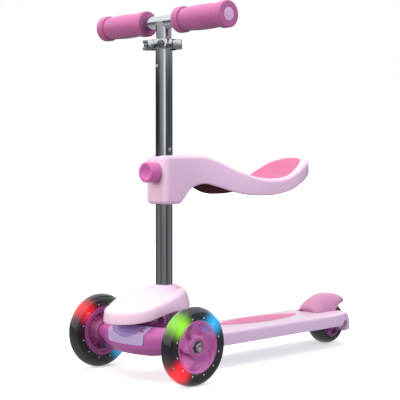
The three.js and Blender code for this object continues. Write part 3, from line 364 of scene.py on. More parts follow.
def soft_rubber(name, colour, tint, pebble, depth, roughness):
    """Soft rubber or foam: matt, with rounded pebbles of this size in mm and a faint dusty sheen."""
    finish, tree, place = new_finish(name)
    _, colours = two_tints(tree, place, colour, tint, 14, 3)
    cells = add(tree, "TexVoronoi", {"Vector": place, "Scale": 1 / (pebble * MM)}, feature="SMOOTH_F1")
    bump = add(tree, "Bump", {"Height": cells.outputs["Distance"], "Distance": depth, "Strength": 0.6})
    bump.invert = True
    shader = add(tree, "BsdfPrincipled", {
        "Base Color": colours, "Roughness": roughness, "IOR": 1.5, "Sheen Weight": 0.12,
        "Sheen Roughness": 0.4, "Normal": bump.outputs["Normal"]})
    show(tree, shader)
    return finish


inlay_rubber = soft_rubber("rose_thermoplastic_rubber", "#F283B2", "#EE7CAC", 1.4, 0.00012, 0.55)
inlay_rings = []
for turn in np.linspace(0.04, math.pi - 0.04, 61):
    along = -math.cos(turn)
    half = INLAY_HALF * (1 - along * along) ** 0.8
    y = blend(*INLAY, (along + 1) / 2)
    ring = [(half * s, crown(0) + 0.6 * (1 - abs(s) ** 6)) for s in np.linspace(-1, 1, 21)]
    ring += [(half, DECK_TOP - 1.5), (-half, DECK_TOP - 1.5)]
    inlay_rings.append([(x, y, z) for x, z in ring])
inlay = build("deck_grip_inlay_mat", loft(inlay_rings), inlay_rubber, sharp=60)
fit(inlay, "deck", "inlay_rubber", "deck_grip_inlay")


# ---- Stem base ----------------------------------------------------------------------------------
# The cover that carries the mast: a moulded oval cap whose rim climbs to the rear, with a collar round
# the mast and a pedestal that stands on the deck's tongue, held from below by two screws.
MAST_Y = 43.7
BASE_HALF = (60, 79)
BASE_Y = 6.5
BASE_WALL = 4
COLLAR_TOP = 146.5
COLLAR_RADIUS = 23.5
MAST_RADIUS = 14.3


def height_line(knots):
    """A smooth height line through (position, height) knots."""
    knots = np.array(knots, float)
    slopes = np.gradient(knots[:, 1], knots[:, 0])

    def height(value):
        value = np.clip(value, knots[0, 0], knots[-1, 0])
        k = np.clip(np.searchsorted(knots[:, 0], value) - 1, 0, len(knots) - 2)
        step = knots[k + 1, 0] - knots[k, 0]
        t = (value - knots[k, 0]) / step
        return ((2 * t**3 - 3 * t**2 + 1) * knots[k, 1] + (t**3 - 2 * t**2 + t) * step * slopes[k]
                + (3 * t**2 - 2 * t**3) * knots[k + 1, 1] + (t**3 - t**2) * step * slopes[k + 1])
    return height


rim_line = height_line([(-80, 110.5), (-55, 112), (-38, 114.6), (-18, 121.6), (8, 128.8), (32, 134.8),
                        (60, 137), (90, 137)])
skirt_line = height_line([(-80, 91.5), (-55, 94), (-38, 97), (-6, 106.5), (23, 111), (60, 112), (90, 112)])
BORE_DEPTH = 34                             # how far the collar's bore runs down the mast


def base_column(turn):
    """One vertical slice of the cap: up the outside, over the top to the collar, down the bore, and back."""
    cos, sin = math.cos(turn), math.sin(turn)

    def wall(level, inward):
        draft = 0.045 * level
        lean = draft * (2.6 if sin > 0 else 0.6)
        x = (BASE_HALF[0] - inward) * (1 - draft) * cos
        y = BASE_Y + (BASE_HALF[1] - inward) * (1 - lean) * sin
        return x, y, blend(skirt_line(y), rim_line(y), level)

    def inwards(start, share, lift):
        foot = (COLLAR_RADIUS + 3) * cos, MAST_Y + (COLLAR_RADIUS + 3) * sin, COLLAR_TOP - 8
        x, y, z = (blend(a, b, share) for a, b in zip(start, foot))
        return x, y, z + lift

    rim = wall(1, 0)
    over = [inwards(rim, s, 4.5 * math.sin(math.pi * s)) for s in (0.2, 0.42, 0.66, 0.86)]
    bore = MAST_RADIUS + 0.6
    ring = [(COLLAR_RADIUS + 3, COLLAR_TOP - 8), (COLLAR_RADIUS + 1, COLLAR_TOP - 6.2),
            (COLLAR_RADIUS, COLLAR_TOP), (bore, COLLAR_TOP), (bore, COLLAR_TOP - BORE_DEPTH)]
    collar = [(r * cos, MAST_Y + r * sin, z) for r, z in ring]
    under = inwards(wall(0.8, BASE_WALL), 0.55, -2)
    inside = [under, wall(0.86, BASE_WALL), wall(0, BASE_WALL)]
    corners = [wall(0, 0), wall(0.5, -0.6), rim, *over, *collar, *inside]
    radii = [1.2, 8, 3.2, 9, 9, 9, 6, 3, 2, 1.6, 0.8, 0, 4, 4, 1.2]
    return rounded(corners, radii)


def pedestal_ring(z, flare, slope):
    half = 30 + flare
    back = 74 + slope
    return [(x, y, z) for x, y in rounded(rectangle(-half, 46, half, back), 9)]


# Each level is its height, how much wider it is, and how far its back slopes out.
pedestal_levels = ((DECK_TOP + 0.3, 5, 22), (DECK_TOP + 6, 3.6, 18), (DECK_TOP + 20, 2, 12), (108, 0, 4),
                   (132, -5, -8))
pedestal = loft([pedestal_ring(*level) for level in pedestal_levels])
cap = loft([base_column(turn) for turn in full_turn(112)], loop=True)
stem_base = build("stem_base_cap", joined(cap, pedestal), pale_plastic, sharp=50)
fit(stem_base, "deck", "pale_plastic", "stem_base")


# ---- Kingpin and its hardware -------------------------------------------------------------------
# Zinc-plated steel: the plate under the mast, the bolt that the truck leans on, its washer and nut, the
# cover's two screws, and the wheel nuts. The bush between plate and truck is black rubber.
def steel(name, colour, tint, roughness, scale, bump_depth):
    """Bare or plated steel: a metal whose gloss breaks up in soft patches, with fine pits."""
    finish, tree, place = new_finish(name)
    patches, colours = two_tints(tree, place, colour, tint, scale, 4)
    gloss = add(tree, "MapRange", {"Value": patches, "To Min": roughness * 0.75, "To Max": roughness * 1.3})
    pits = add(tree, "TexNoise", {"Vector": place, "Scale": 1 / (0.6 * MM), "Detail": 3})
    bump = add(tree, "Bump", {"Height": pits.outputs["Fac"], "Distance": bump_depth, "Strength": 0.5})
    shader = add(tree, "BsdfPrincipled", {
        "Base Color": colours, "Metallic": 1, "Roughness": gloss.outputs["Result"],
        "Normal": bump.outputs["Normal"]})
    show(tree, shader)
    return finish


zinc_steel = steel("zinc_plated_steel", "#7E8286", "#6A6E73", 0.34, 220, 0.00001)
bright_steel = steel("bright_nickel_steel", "#D9DBDD", "#C2C5C8", 0.16, 160, 0.000004)
black_rubber = soft_rubber("black_rubber", "#1C1B1E", "#242326", 1.1, 0.00004, 0.6)


def dress(finish, *nodes):
    """Gives frame nodes that keep their own shape a finish."""
    for node in nodes:
        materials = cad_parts[node].data.materials
        materials.clear()
        materials.append(finish)


dress(zinc_steel, "kingpin_plate", "kingpin_bolt", "kingpin_washer", "kingpin_nut", "stem_base_screw_left",
      "stem_base_screw_right", "axle_nut_left", "axle_nut_right", "rear_axle_nut", "axle_sleeve_left",
      "axle_sleeve_right", "axle_sleeve_rear")
dress(black_rubber, "kingpin_bush")


# ---- Mast ---------------------------------------------------------------------------------------
# A chromed steel tube, slit at the top so that the clamp can close it on the stem. A small screw keeps the
# seat from sliding off, and the stem's sprung button shows in a hole near the top.
MAST_WALL = 1.3
MAST = (72, 549)
SLIT_START = MAST[1] - 32
BUTTON_Z = 507
MAST_SCREW_Z = 370


def chrome_plate(name):
    """Bright chrome on a drawn tube: near mirror, with long faint draw lines that soften its reflections."""
    finish, tree, place = new_finish(name)
    lines = add(tree, "Mapping", {"Vector": place, "Scale": (1, 1, 0.02)})
    drawn = add(tree, "TexNoise", {"Vector": lines.outputs["Vector"], "Scale": 900, "Detail": 2})
    gloss = add(tree, "MapRange", {"Value": drawn.outputs["Fac"], "To Min": 0.05, "To Max": 0.14})
    bump = add(tree, "Bump", {"Height": drawn.outputs["Fac"], "Distance": 0.000002, "Strength": 0.4})
    shader = add(tree, "BsdfPrincipled", {
        "Base Color": linear("#D4DAE0"), "Metallic": 1, "Roughness": gloss.outputs["Result"],
        "Normal": bump.outputs["Normal"]})
    show(tree, shader)
    return finish


def slit_tube(outer, inner, low, high, half_slit, facets=90):
    """A tube with a slit down its rear side."""
    edge = math.asin(half_slit / outer)
    turns = np.linspace(math.pi / 2 + edge, 2.5 * math.pi - edge, facets)
    ring = arc(outer, turns) + arc(inner, turns[::-1])
    return loft([[(x, y, z) for x, y in ring] for z in (low, high)])


chrome = chrome_plate("chromed_steel_tube")
MAST_INNER = MAST_RADIUS - MAST_WALL
lower_mast = lathe(rectangle(MAST_INNER, MAST[0], MAST_RADIUS, SLIT_START), 96)
upper_mast = slit_tube(MAST_RADIUS, MAST_INNER, SLIT_START, MAST[1], 1)
mast = build("mast", moved(joined(lower_mast, upper_mast), at(0, MAST_Y, 0)), chrome)
fit(mast, "deck", "mast_metal", "mast_tube")

screw_head = [(0, MAST_RADIUS + 0.2), (2.8, MAST_RADIUS + 0.2), (2.8, MAST_RADIUS + 0.8),
              (1.9, MAST_RADIUS + 1.8), (1.1, MAST_RADIUS + 1.9), (0.9, MAST_RADIUS + 1.2),
              (0, MAST_RADIUS + 1.2)]
screw_place = at(0, MAST_Y, MAST_SCREW_Z) @ ALONG_X
mast_screw = build("mast_stop_screw", moved(lathe(screw_head, 32, False), screw_place), bright_steel)
fit(mast_screw, "deck", "bright_hardware", "mast_screw")

button_place = at(0, MAST_Y, BUTTON_Z) @ TO_FRONT
nose = [(0, MAST_INNER), (3, MAST_INNER), (3, MAST_RADIUS + 0.6), (2.6, MAST_RADIUS + 1.3),
        (1.6, MAST_RADIUS + 1.9), (0, MAST_RADIUS + 2.1)]
button = build("snap_button_nose", moved(lathe(nose, 32, False), button_place), bright_steel)
fit(button, "snap_button", "bright_hardware", "snap_button")
# A thin black ring fills the gap round the nose in its hole: painted shade in the gap.
button_rim = rectangle(3.1, MAST_RADIUS - 0.4, 4.1, MAST_RADIUS + 0.15)
button_gap_shade = build("snap_button_hole", moved(lathe(button_rim, 40), button_place), black_rubber)
fit(button_gap_shade, "deck", "dark_hardware")


# ---- Truck --------------------------------------------------------------------------------------
# The steering truck is one deep-pink polypropylene moulding with a bowed nose, broad chamfers above and
# below, and a stub at each end for the wheel. A lilac panel snaps into the middle of its nose.
TRUCK_HALF = 92
TRUCK_NOSE = 46                             # how far the nose reaches ahead of the axle
TRUCK_ENDS = 17
TRUCK_BACK = 22
AXLE_Z = 62.5
STUB_RADIUS = 14
STUB_END = 102.5
INSERT_HALF = 43


def nose_line(x):
    return -TRUCK_ENDS - (TRUCK_NOSE - TRUCK_ENDS) * (1 - (x / TRUCK_HALF) ** 2)


def truck_low(x):
    return 42 + 5 * smooth(46, 88, abs(x))


def truck_high(x):
    return 88 - 5 * smooth(74, 92, abs(x))


truck_plan = [(x, nose_line(x)) for x in np.linspace(-TRUCK_HALF, TRUCK_HALF, 49)]
truck_plan += [(TRUCK_HALF, TRUCK_BACK - 8), (TRUCK_HALF - 34, TRUCK_BACK), (34 - TRUCK_HALF, TRUCK_BACK),
               (-TRUCK_HALF, TRUCK_BACK - 8)]
truck_plan = rounded(truck_plan, [6] + [0] * 47 + [6, 5, 5, 5, 5])
# Each level is how far in, how far up from the underside and how far down from the top.
truck_levels = [(9, 0, None), (8, 0.2, None), (1, 10, None), (0, 12, None), (0, None, 13), (0.8, None, 11.4),
                (9, None, 0.8), (10.5, None, 0)]
truck_rings = []
for inward, up, down in truck_levels:
    level = []
    for x, y in inset(truck_plan, inward):
        level.append((x, y, truck_low(x) + up if down is None else truck_high(x) - down))
    truck_rings.append(level)
stub_section = rounded(rectangle(4, -STUB_END, STUB_RADIUS, STUB_END), 1.5)
stubs = moved(lathe(stub_section, 64), at(0, 0, AXLE_Z) @ ALONG_X)
LED_X = 118                                 # where an LED's light seems to come from
LED_REACH = 49


def painted_led_glow(sign, lights, reach):
    """The light that LEDs at these turns shed round themselves, painted as a colour: a glow that fades with
    distance from each LED.
    """
    def glow(tree, place):
        total = None
        for turn, colour in lights:
            angle = math.radians(turn)
            ahead, up = LED_REACH * MM * math.cos(angle), LED_REACH * math.sin(angle)
            spot = Vector((sign * LED_X * MM, AXLE_Y + ahead, (AXLE_Z + up) * MM))
            away = add(tree, "VectorMath", {0: place, 1: spot}, operation="DISTANCE").outputs["Value"]
            fall = add(tree, "MapRange", {"Value": away, "From Max": reach * MM, "To Min": 1, "To Max": 0},
                       interpolation_type="SMOOTHERSTEP").outputs["Result"]
            shine = add(tree, "VectorMath", {0: linear(colour)[:3], "Scale": fall}, operation="SCALE")
            shine = shine.outputs[0]
            if total is not None:
                shine = add(tree, "VectorMath", {0: total, 1: shine}, operation="ADD").outputs[0]
            total = shine
        return total
    return glow


deep_plastic = moulded("deep_pink_polypropylene", "#C469AE", "#BF65AA", 0.3)
truck = build("truck_moulding", joined(loft(truck_rings), stubs), deep_plastic, sharp=30)
KINGPIN_LEAN = 25                           # degrees
KINGPIN = at(0, 10, 60) @ Matrix.Rotation(math.radians(KINGPIN_LEAN), 4, "X")
BUSH_ROOM = (18.5, 26)                      # radius, and how far up the kingpin each hollow starts
HEAD_ROOM = (12, -16)
ROOM_END = 60
kingpin_room = moved(lathe(rectangle(0, BUSH_ROOM[1], BUSH_ROOM[0], ROOM_END), 48, False), KINGPIN)
head_room = moved(lathe(rectangle(0, -ROOM_END, HEAD_ROOM[0], HEAD_ROOM[1]), 48, False), KINGPIN)
cut(truck, kingpin_room, head_room, sharp=30)
fit(truck, "truck", "deep_plastic", "truck_body")

lilac_plastic = moulded("lilac_abs", "#D4C2E6", "#CEBBE2", 0.32)
# The scoop's darker violet is painted shade for its recess.
scoop_shade_violet = moulded("violet_painted_scoop_shade", "#B09AD4", "#A993CE", 0.38)
INSERT_LOW = 58
INSERT_BEND = 75                            # the panel turns back here, over the truck's chamfer
INSERT_HIGH = 88.6
INSERT_LEAN = 0.84                          # how far back it leans for each mm it climbs above the bend


def scoop_line(x):
    """The height of the scoop's lower edge at x."""
    return 69 + 15 * min(1, abs(x + 1) / 37) ** 2.4


def panel(scoop_depth, proud, depth):
    """The panel's body: its face stands a hair proud of the truck's nose, with a scooped upper middle."""
    rings = []
    for z in [INSERT_LOW, *np.linspace(INSERT_LOW + 0.8, INSERT_HIGH, 44)]:
        half = INSERT_HALF + 6 * smooth(INSERT_BEND - 2, INSERT_HIGH, z)
        half -= 7 * (1 - smooth(INSERT_LOW - 4, INSERT_LOW + 6, z))
        edge = 0.7 if z == INSERT_LOW else 0
        lean = INSERT_LEAN * max(0, z - INSERT_BEND)
        face, back = [], []
        for x in np.linspace(-half, half, 61):
            lip = scoop_line(x)
            scoop = scoop_depth * smooth(lip - 0.6, lip + 0.8, z) * (abs(x) < 40)
            face.append((x, nose_line(x) - proud + lean + scoop + edge, z))
            back.append((x, nose_line(x) + depth + lean, z))
        rings.append(face + back[::-1])
    return loft(rings)


cut(truck, panel(0, 8, 3), sharp=30)
insert_part = panel(2.4, 1, 4)
centres = [np.mean(insert_part[0][list(face)], 0) for face in insert_part[1]]
# Faces in the scoop take the darker violet: painted shade.
in_scoop = [int(abs(c[0]) < 38 and c[2] > scoop_line(c[0]) + 0.2) for c in centres]
insert = build("truck_panel", insert_part, lilac_plastic, scoop_shade_violet, looks=in_scoop, sharp=50)
PANEL_SLOT = (36, -33, 81)
slot_outline = rounded(rectangle(-5, -1.6, 5, 1.6), 1.5)
slot_hole = moved(plate(slot_outline, -9, 9, 0.1), at(*PANEL_SLOT) @ TO_FRONT)
cut(insert, slot_hole, sharp=50)
fit(insert, "truck", "lavender_plastic", "truck_insert")


# ---- Front wheels -------------------------------------------------------------------------------
# Each is a deep-pink core with five blades that twist like a turbine, in a tyre of smoky clear polyurethane
# cast over it. A ring of LEDs, lit by a dynamo as the wheel turns, shines into the tyre.
WHEEL_X = 115.5
CORE_RADIUS = 42
TYRE_RADIUS = 62.5
TYRE_HALF = 12
TYRE_FLAT = 50                              # the flanks are flat out to here
TYRE_SHOULDER = 52
# The LEDs' light on the core and the tyre is painted on as an emitted glow.
CORE_GLOW = 30                              # how far the LEDs light the core, and the tyre
TYRE_GLOW = 32
BEARINGS = (3.5, -10.5)                     # where the outer and inner bearing start
BOLT_REACH = 46
BOLT_SEAT = 10.8
HUB_RADIUS = 16
BORE = 11.15
BEARING_WIDTH = 7
BLADES = 5
BLADE_DEPTH = 8.4
LED_TURNS = (45, 135, 225, 315)
LED_BOARD = (-9, -6.5)
PEGS = 12
PEG_REACH = 46.2
RIBS = 10


def blade_face(radius, turn, face, depth):
    """The core's face: each blade starts at a steep step and ramps back up to the face as it turns."""
    lean = 0.5 * (radius - 26) / 16
    share = ((turn - math.radians(50) + lean) / (2 * math.pi / BLADES)) % 1
    ramp = np.where(share < 0.06, share / 0.06, 1 - (share - 0.06) / 0.78)
    window = smooth(17, 22, radius) * (1 - smooth(33, 39.5, radius))
    return face - depth * np.clip(ramp, 0, 1) ** 1.1 * window


def core_part():
    turns = full_turn(240)
    columns = []
    face_radii = np.linspace(HUB_RADIUS + 0.8, 39, 30)
    outer = [(BORE, 9.8), (BORE + 0.6, 10.6), (12.4, 11.7), (HUB_RADIUS - 0.8, 11.7), (HUB_RADIUS, 11)]
    outer += [(r, 10.8 - 1.5 * math.sin(math.pi * (r - HUB_RADIUS) / 23)) for r in face_radii]
    outer += [(39.8, 11), (40.8, 11.5), (41.7, 11.2), (CORE_RADIUS, 10.4), (CORE_RADIUS, -10.4),
              (41.6, -11.4), (40.6, -11.6), (37.2, -11.4), (36.4, -10.6), (36, 1.2), (34.8, 2.4)]
    inner = [(r, 2.4 - 13.6 * ((30 - r) / 14) ** 1.5) for r in np.linspace(30, HUB_RADIUS, 12)]
    tail = [(HUB_RADIUS - 0.8, -11.9), (12.2, -11.9), (BORE, -11)]
    for radius, x in outer + inner + tail:
        flat = (x < 9 or radius <= HUB_RADIUS or radius >= 39)
        xs = np.full(len(turns), x) if flat else blade_face(radius, turns, x, BLADE_DEPTH)
        columns.append([(px, radius * math.cos(t), radius * math.sin(t)) for px, t in zip(xs, turns)])
    fin = plate([(18, -7.5), (35.5, -4.5), (35.5, 3), (18, 3)], -0.6, 0.6, 0.2)
    stand = Matrix(((0, 1, 0, 0), (1, 0, 0, 0), (0, 0, 1, 0), (0, 0, 0, 1)))
    ribs = []
    for k in range(RIBS):
        ribs.append(moved(moved(fin, stand), Matrix.Rotation(2 * math.pi * (k + 0.5) / RIBS, 4, "X")))
    return joined(loft(columns, loop=True), *ribs)


def peg_part():
    """The core's light pipes: pegs all round that key the tyre and whose ends show at its flanks."""
    profile = [(0, -TYRE_HALF - 0.25), (1, -TYRE_HALF - 0.2), (1.7, 0.3 - TYRE_HALF), (2, 1 - TYRE_HALF),
               (2, TYRE_HALF - 1), (1.7, TYRE_HALF - 0.3), (1, TYRE_HALF + 0.2), (0, TYRE_HALF + 0.25)]
    parts = []
    for k in range(PEGS):
        turn = 2 * math.pi * (k + 0.5) / PEGS
        place = Matrix.Rotation(turn, 4, "X") @ at(0, PEG_REACH, 0) @ ALONG_X
        parts.append(moved(lathe(profile, 20, False), place))
    return joined(*parts)


def led_parts():
    """The LED board's ring with a post at each LED, and the LEDs' own domes."""
    low, high = LED_BOARD
    ring = moved(lathe(rounded(rectangle(31.6, low, 35.6, high), 0.3), 96), ALONG_X)
    posts, domes = [], []
    for degrees in LED_TURNS:
        spin = Matrix.Rotation(math.radians(degrees - 90), 4, "X")
        post = plate([(low, -2.2), (high, -2.2), (high, 2.2), (low, 2.2)], 34, 45, 0.3)
        posts.append(moved(post, spin))
        dome = lathe([(0, 44.5), (2.3, 44.5), (2.3, 46.3), (2, 47.3), (1.2, 48.1), (0, 48.4)], 28, False)
        domes.append(moved(dome, spin @ at(sum(LED_BOARD) / 2, 0, 0)))
    return joined(ring, *posts), domes


def clear_tyre(name, glow):
    """Smoky clear polyurethane: dark in depth, glass smooth, with the LEDs' light painted into it as an
    emitted glow.
    """
    finish, tree, place = new_finish(name)
    _, colours = two_tints(tree, place, "#232327", "#2F2F34", 60, 3)
    ripple = add(tree, "TexNoise", {"Vector": place, "Scale": 420, "Detail": 2})
    bump = add(tree, "Bump", {"Height": ripple.outputs["Fac"], "Distance": 0.00003, "Strength": 0.4})
    shader = add(tree, "BsdfPrincipled", {
        "Base Color": colours, "Roughness": 0.1, "IOR": 1.5, "Alpha": 0.93,
        "Coat Weight": 0.6, "Coat Roughness": 0.05, "Normal": bump.outputs["Normal"],
        "Emission Color": glow(tree, place), "Emission Strength": 1.6})
    show(tree, shader)
    return finish


def lit(name, colour, strength):
    """An LED's epoxy dome: it glows in its own colour, a little brighter in the middle."""
    finish, tree, place = new_finish(name)
    facing = add(tree, "LayerWeight", {"Blend": 0.4})
    pale = [blend(v, 1, 0.5) for v in linear(colour)]
    middle = add(tree, "Mix", {"Factor": facing.outputs["Facing"], "A": pale, "B": linear(colour)},
                 data_type="RGBA")
    shader = add(tree, "BsdfPrincipled", {
        "Base Color": linear(colour), "Roughness": 0.2, "IOR": 1.54,
        "Emission Color": middle.outputs["Result"], "Emission Strength": strength})
    show(tree, shader)
    return finish


led_red = lit("red_led_epoxy", "#FF2030", 5)
led_green = lit("green_led_epoxy", "#8CF020", 5)
led_blue = lit("blue_led_epoxy", "#30B8FF", 5)
# The unlit dome still gets a faint pale painted glow.
led_off = lit("unlit_led_epoxy", "#E6EEF0", 0.1)
board_lacquer = moulded("orchid_lacquered_board", "#C07FBE", "#B876B4", 0.4)
peg_plastic = moulded("frosted_clear_pegs", "#F4F2F6", "#E6E4EA", 0.18, coat=0.8)
seal_rubber = soft_rubber("bearing_seal_rubber", "#4A4A50", "#424248", 0.8, 0.00002, 0.45)
wheel_lights = {
    "left": [(45, "#18A8E0", led_blue), (135, "#8CE01C", led_green), (225, "#FF1C28", led_red),
             (315, None, led_off)],
    "right": [(45, "#58C81C", led_green), (135, "#FF1C28", led_red), (225, None, led_off),
              (315, "#28A8DC", led_blue)]}


def bearing_part(low, high, radius=11, bore=4):
    """A deep-groove bearing: its two steel rings, and the seal between them."""
    outer = lathe(rounded(rectangle(radius - 1.6, low, radius, high), 0.4), 60)
    inner = lathe(rounded(rectangle(bore, low, bore + 1.8, high), 0.4), 48)
    seal = lathe(rectangle(bore + 1.8, low + 0.5, radius - 1.6, high - 0.5), 48)
    return joined(outer, inner), seal


def along_axle(part, place):
    """A part that was turned about Z, laid along its wheel's axle."""
    return moved(moved(part, ALONG_X), place)


def fit_bearings(side, body, place, lows):
    """A wheel's two bearings, each a pair of races and the seal between them."""
    for name, low in zip(("outer", "inner"), lows):
        races, seal = bearing_part(low, low + BEARING_WIDTH)
        pair = build(f"bearing_races_{name}_{side}", along_axle(races, place), bright_steel)
        fit(pair, body, "dark_hardware", f"bearing_{name}_{side}")
        cover = build(f"bearing_seal_{name}_{side}", along_axle(seal, place), seal_rubber)
        fit(cover, body, "black_rubber")


def tyre_section(core, flat, shoulder, radius, half):
    """A tyre's section: seated on the core, flat at its flanks, and round over the tread."""
    flank = [(core + 0.2, -half + 0.6), (core + 0.8, -half), (flat, -half)]
    tread = []
    for turn in np.linspace(-math.pi / 2, math.pi / 2, 25):
        cos, sin = math.cos(turn), math.sin(turn)
        out = shoulder + (radius - shoulder) * abs(cos) ** 0.9
        tread.append((out, half * math.copysign(abs(sin) ** 0.9, sin)))
    return flank + tread + [(r, -x) for r, x in flank[::-1]]


def socket_head(reach):
    """A socket-head bolt whose head starts at 0 and whose shank runs back from it."""
    body = [(0, -reach), (3.8, -reach), (3.8, 0), (6.5, 0), (6.5, 4.1), (6.3, 4.5), (5.9, 4.7), (3.3, 4.7),
            (3, 4.4), (3, 1.9), (0, 1.7)]
    return lathe(body, 48, False)


tyre_profile = tyre_section(CORE_RADIUS, TYRE_FLAT, TYRE_SHOULDER, TYRE_RADIUS, TYRE_HALF)

for side, sign in (("left", 1), ("right", -1)):
    body = "front_wheel_" + side
    facing = at(sign * WHEEL_X, 0, AXLE_Z) @ Matrix.Rotation(0 if sign > 0 else math.pi, 4, "Z")
    shone = [(turn, colour) for turn, colour, _ in wheel_lights[side] if colour]
    # Near each lit LED, the core and the tyre glow with painted LED light.
    core_plastic = moulded("deep_pink_core_" + side, "#CE6FB0", "#C96AAA", 0.26, coat=0.4,
                           glow=painted_led_glow(sign, shone, CORE_GLOW))
    core = build("wheel_core_blades_" + side, moved(core_part(), facing), core_plastic, sharp=32)
    fit(core, body, "deep_plastic", "wheel_core_" + side)
    pegs = build("wheel_pegs_" + side, moved(peg_part(), facing), peg_plastic)
    fit(pegs, body, "clear_tyre")
    tyre_urethane = clear_tyre("smoky_clear_polyurethane_" + side, painted_led_glow(sign, shone, TYRE_GLOW))
    tyre = build("tyre_cast_" + side, along_axle(lathe(tyre_profile, 128), facing), tyre_urethane)
    fit(tyre, body, "clear_tyre", "tyre_" + side)
    board, domes = led_parts()
    ring = build("led_board_" + side, moved(board, facing), board_lacquer)
    fit(ring, body, "led_board", "led_ring_" + side)
    for degrees, dome in zip(LED_TURNS, domes):
        # The right wheel faces the other way, so its front and rear LEDs change places.
        seen = degrees if sign > 0 else 180 - degrees
        lamp_finish = next(f for turn, _, f in wheel_lights[side] if (turn - seen) % 360 == 0)
        lamp = build(f"led_{side}_{degrees}", moved(dome, facing), lamp_finish)
        fit(lamp, body, "led_board")
    fit_bearings(side, body, facing, BEARINGS)
    bolt_part = moved(moved(socket_head(BOLT_REACH), at(BOLT_SEAT, 0, 0) @ ALONG_X), facing)
    bolt = build("axle_bolt_head_" + side, bolt_part, bright_steel)
    fit(bolt, "truck", "bright_hardware", "axle_bolt_" + side)


# ---- Rear wheel ---------------------------------------------------------------------------------
# A small plain wheel: a deep-pink core with five dished pockets in a tyre of the same polyurethane, cast
# without lights and so dark that it reads as black. Its bolt lies in the arms' recesses.
REAR_RADIUS = 40
REAR_CORE = 26
REAR_HALF = 18
REAR_FLAT = 27.5
REAR_SHOULDER = 28
REAR_BEARINGS = (9.5, -16.5)
REAR_BOLT_REACH = 78
REAR_BOLT_SEAT = 35.3
rear_tyre = tyre_section(REAR_CORE, REAR_FLAT, REAR_SHOULDER, REAR_RADIUS, REAR_HALF)
rear_place = at(0, *REAR_AXLE)


def rear_core_part():
    turns = full_turn(160)
    half = [(BORE, 16.6), (12, 17.4), (14, 17.4), (15, 16.6)]
    half += [(r, 15.4) for r in np.linspace(15.6, 22.4, 10)]
    half += [(23, 16.6), (24, 17.6), (25.6, 17.4), (REAR_CORE, 16.6)]
    columns = []
    for mirror in (1, -1):
        for radius, x in half if mirror > 0 else half[::-1]:
            dish = 6 * smooth(15.4, 17.4, radius) * (1 - smooth(20.8, 22.6, radius))
            wave = smooth(-0.3, 0.3, np.cos(BLADES * turns))
            columns.append([(mirror * (x - dish * w), radius * math.cos(t), radius * math.sin(t))
                            for w, t in zip(wave, turns)])
    return loft(columns, loop=True)


dark_urethane = moulded("black_polyurethane", "#1B1B1F", "#242428", 0.16, coat=0.6)
rear_plastic = moulded("plum_polypropylene", "#A05C98", "#98568F", 0.32)
rear_core = build("wheel_core_dished_rear", moved(rear_core_part(), rear_place), rear_plastic, sharp=32)
fit(rear_core, "rear_wheel", "deep_plastic", "wheel_core_rear")
rear_band = build("tyre_cast_rear", along_axle(lathe(rear_tyre, 112), rear_place), dark_urethane)
fit(rear_band, "rear_wheel", "clear_tyre", "tyre_rear")
fit_bearings("rear", "rear_wheel", rear_place, REAR_BEARINGS)
rear_bolt_part = moved(moved(socket_head(REAR_BOLT_REACH), at(REAR_BOLT_SEAT, 0, 0) @ ALONG_X), rear_place)
rear_bolt = build("rear_axle_bolt_head", rear_bolt_part, bright_steel)
fit(rear_bolt, "deck", "bright_hardware", "rear_axle_bolt")


# ---- Rear brake ---------------------------------------------------------------------------------
# The brake is a moulded fender over the rear wheel, hinged on a pin between the arms. Stepping on it
# presses a rubber pad on the tyre. Its crown runs back to a blunt tip, and its sides are flatter than
# its top.
BRAKE_HALF = 25
BRAKE = (406, 506)
BRAKE_WALL = 3.5
BRAKE_PIN = (414, 50)
BARREL_HALF = 25.8
TONGUE_TOP = 73
BRAKE_WIDEST = (420, 463)
brake_top = height_line([(404, 70), (408, 77), (414, 82.5), (424, 89), (439, 95.5), (460, 97), (478, 95),
                         (494, 90), (BRAKE[1], 84)])
brake_edge = height_line([(404, 61), (455, 61), (463, 68), (474, 75.5), (490, 77.5), (BRAKE[1], 77.5)])


def brake_ring(y):
    tip = np.clip((y - BRAKE_WIDEST[1]) / (BRAKE[1] - BRAKE_WIDEST[1]), 0, 1)
    nose_share = np.clip((BRAKE_WIDEST[0] - y) / (BRAKE_WIDEST[0] - BRAKE[0]), 0, 1)
    half = BRAKE_HALF * math.sqrt(1 - (0.993 * tip) ** 2) * math.sqrt(1 - (0.6 * nose_share) ** 2)
    top = brake_top(y)
    foot = min(brake_edge(y), top - 1.6)
    wall = min(BRAKE_WALL, 0.4 * (top - foot), 0.4 * half)
    turns = np.linspace(0, math.pi, 33)
    def arch(reach, crest, turns):
        return [(reach * math.copysign(abs(math.cos(t)) ** 0.8, math.cos(t)), y,
                 blend(foot, crest, math.sin(t) ** 0.72)) for t in turns]

    return arch(half, top, turns) + arch(half - wall, top - wall, turns[::-1])


rose_plastic = moulded("rose_pink_polypropylene", "#D597B8", "#D08FB2", 0.32)
brake_stations = [*np.linspace(BRAKE[0], BRAKE_WIDEST[0], 10), *np.linspace(423, BRAKE_WIDEST[1], 16)]
brake_stations += [blend(BRAKE_WIDEST[1], BRAKE[1], math.sin(t)) for t in np.linspace(0, math.pi / 2, 22)[1:]]
fender = build("brake_fender_shell", loft([brake_ring(y) for y in brake_stations]), rose_plastic, sharp=40)
barrel_section = rounded(rectangle(2.6, -BARREL_HALF, 6, BARREL_HALF), 0.8)
barrel = moved(lathe(barrel_section, 40), at(0, *BRAKE_PIN) @ ALONG_X)
web = plate(rounded(rectangle(-14, BRAKE_PIN[0] - 6, 14, BRAKE_PIN[0] + 6), 1.5), BRAKE_PIN[1], TONGUE_TOP, 1)
hinge = build("brake_hinge", joined(barrel, web), rose_plastic)
fit(fender, "brake", "deep_plastic", "brake_fender")
fit(hinge, "brake", "deep_plastic")
dress(black_rubber, "brake_pad")
dress(bright_steel, "brake_pin")


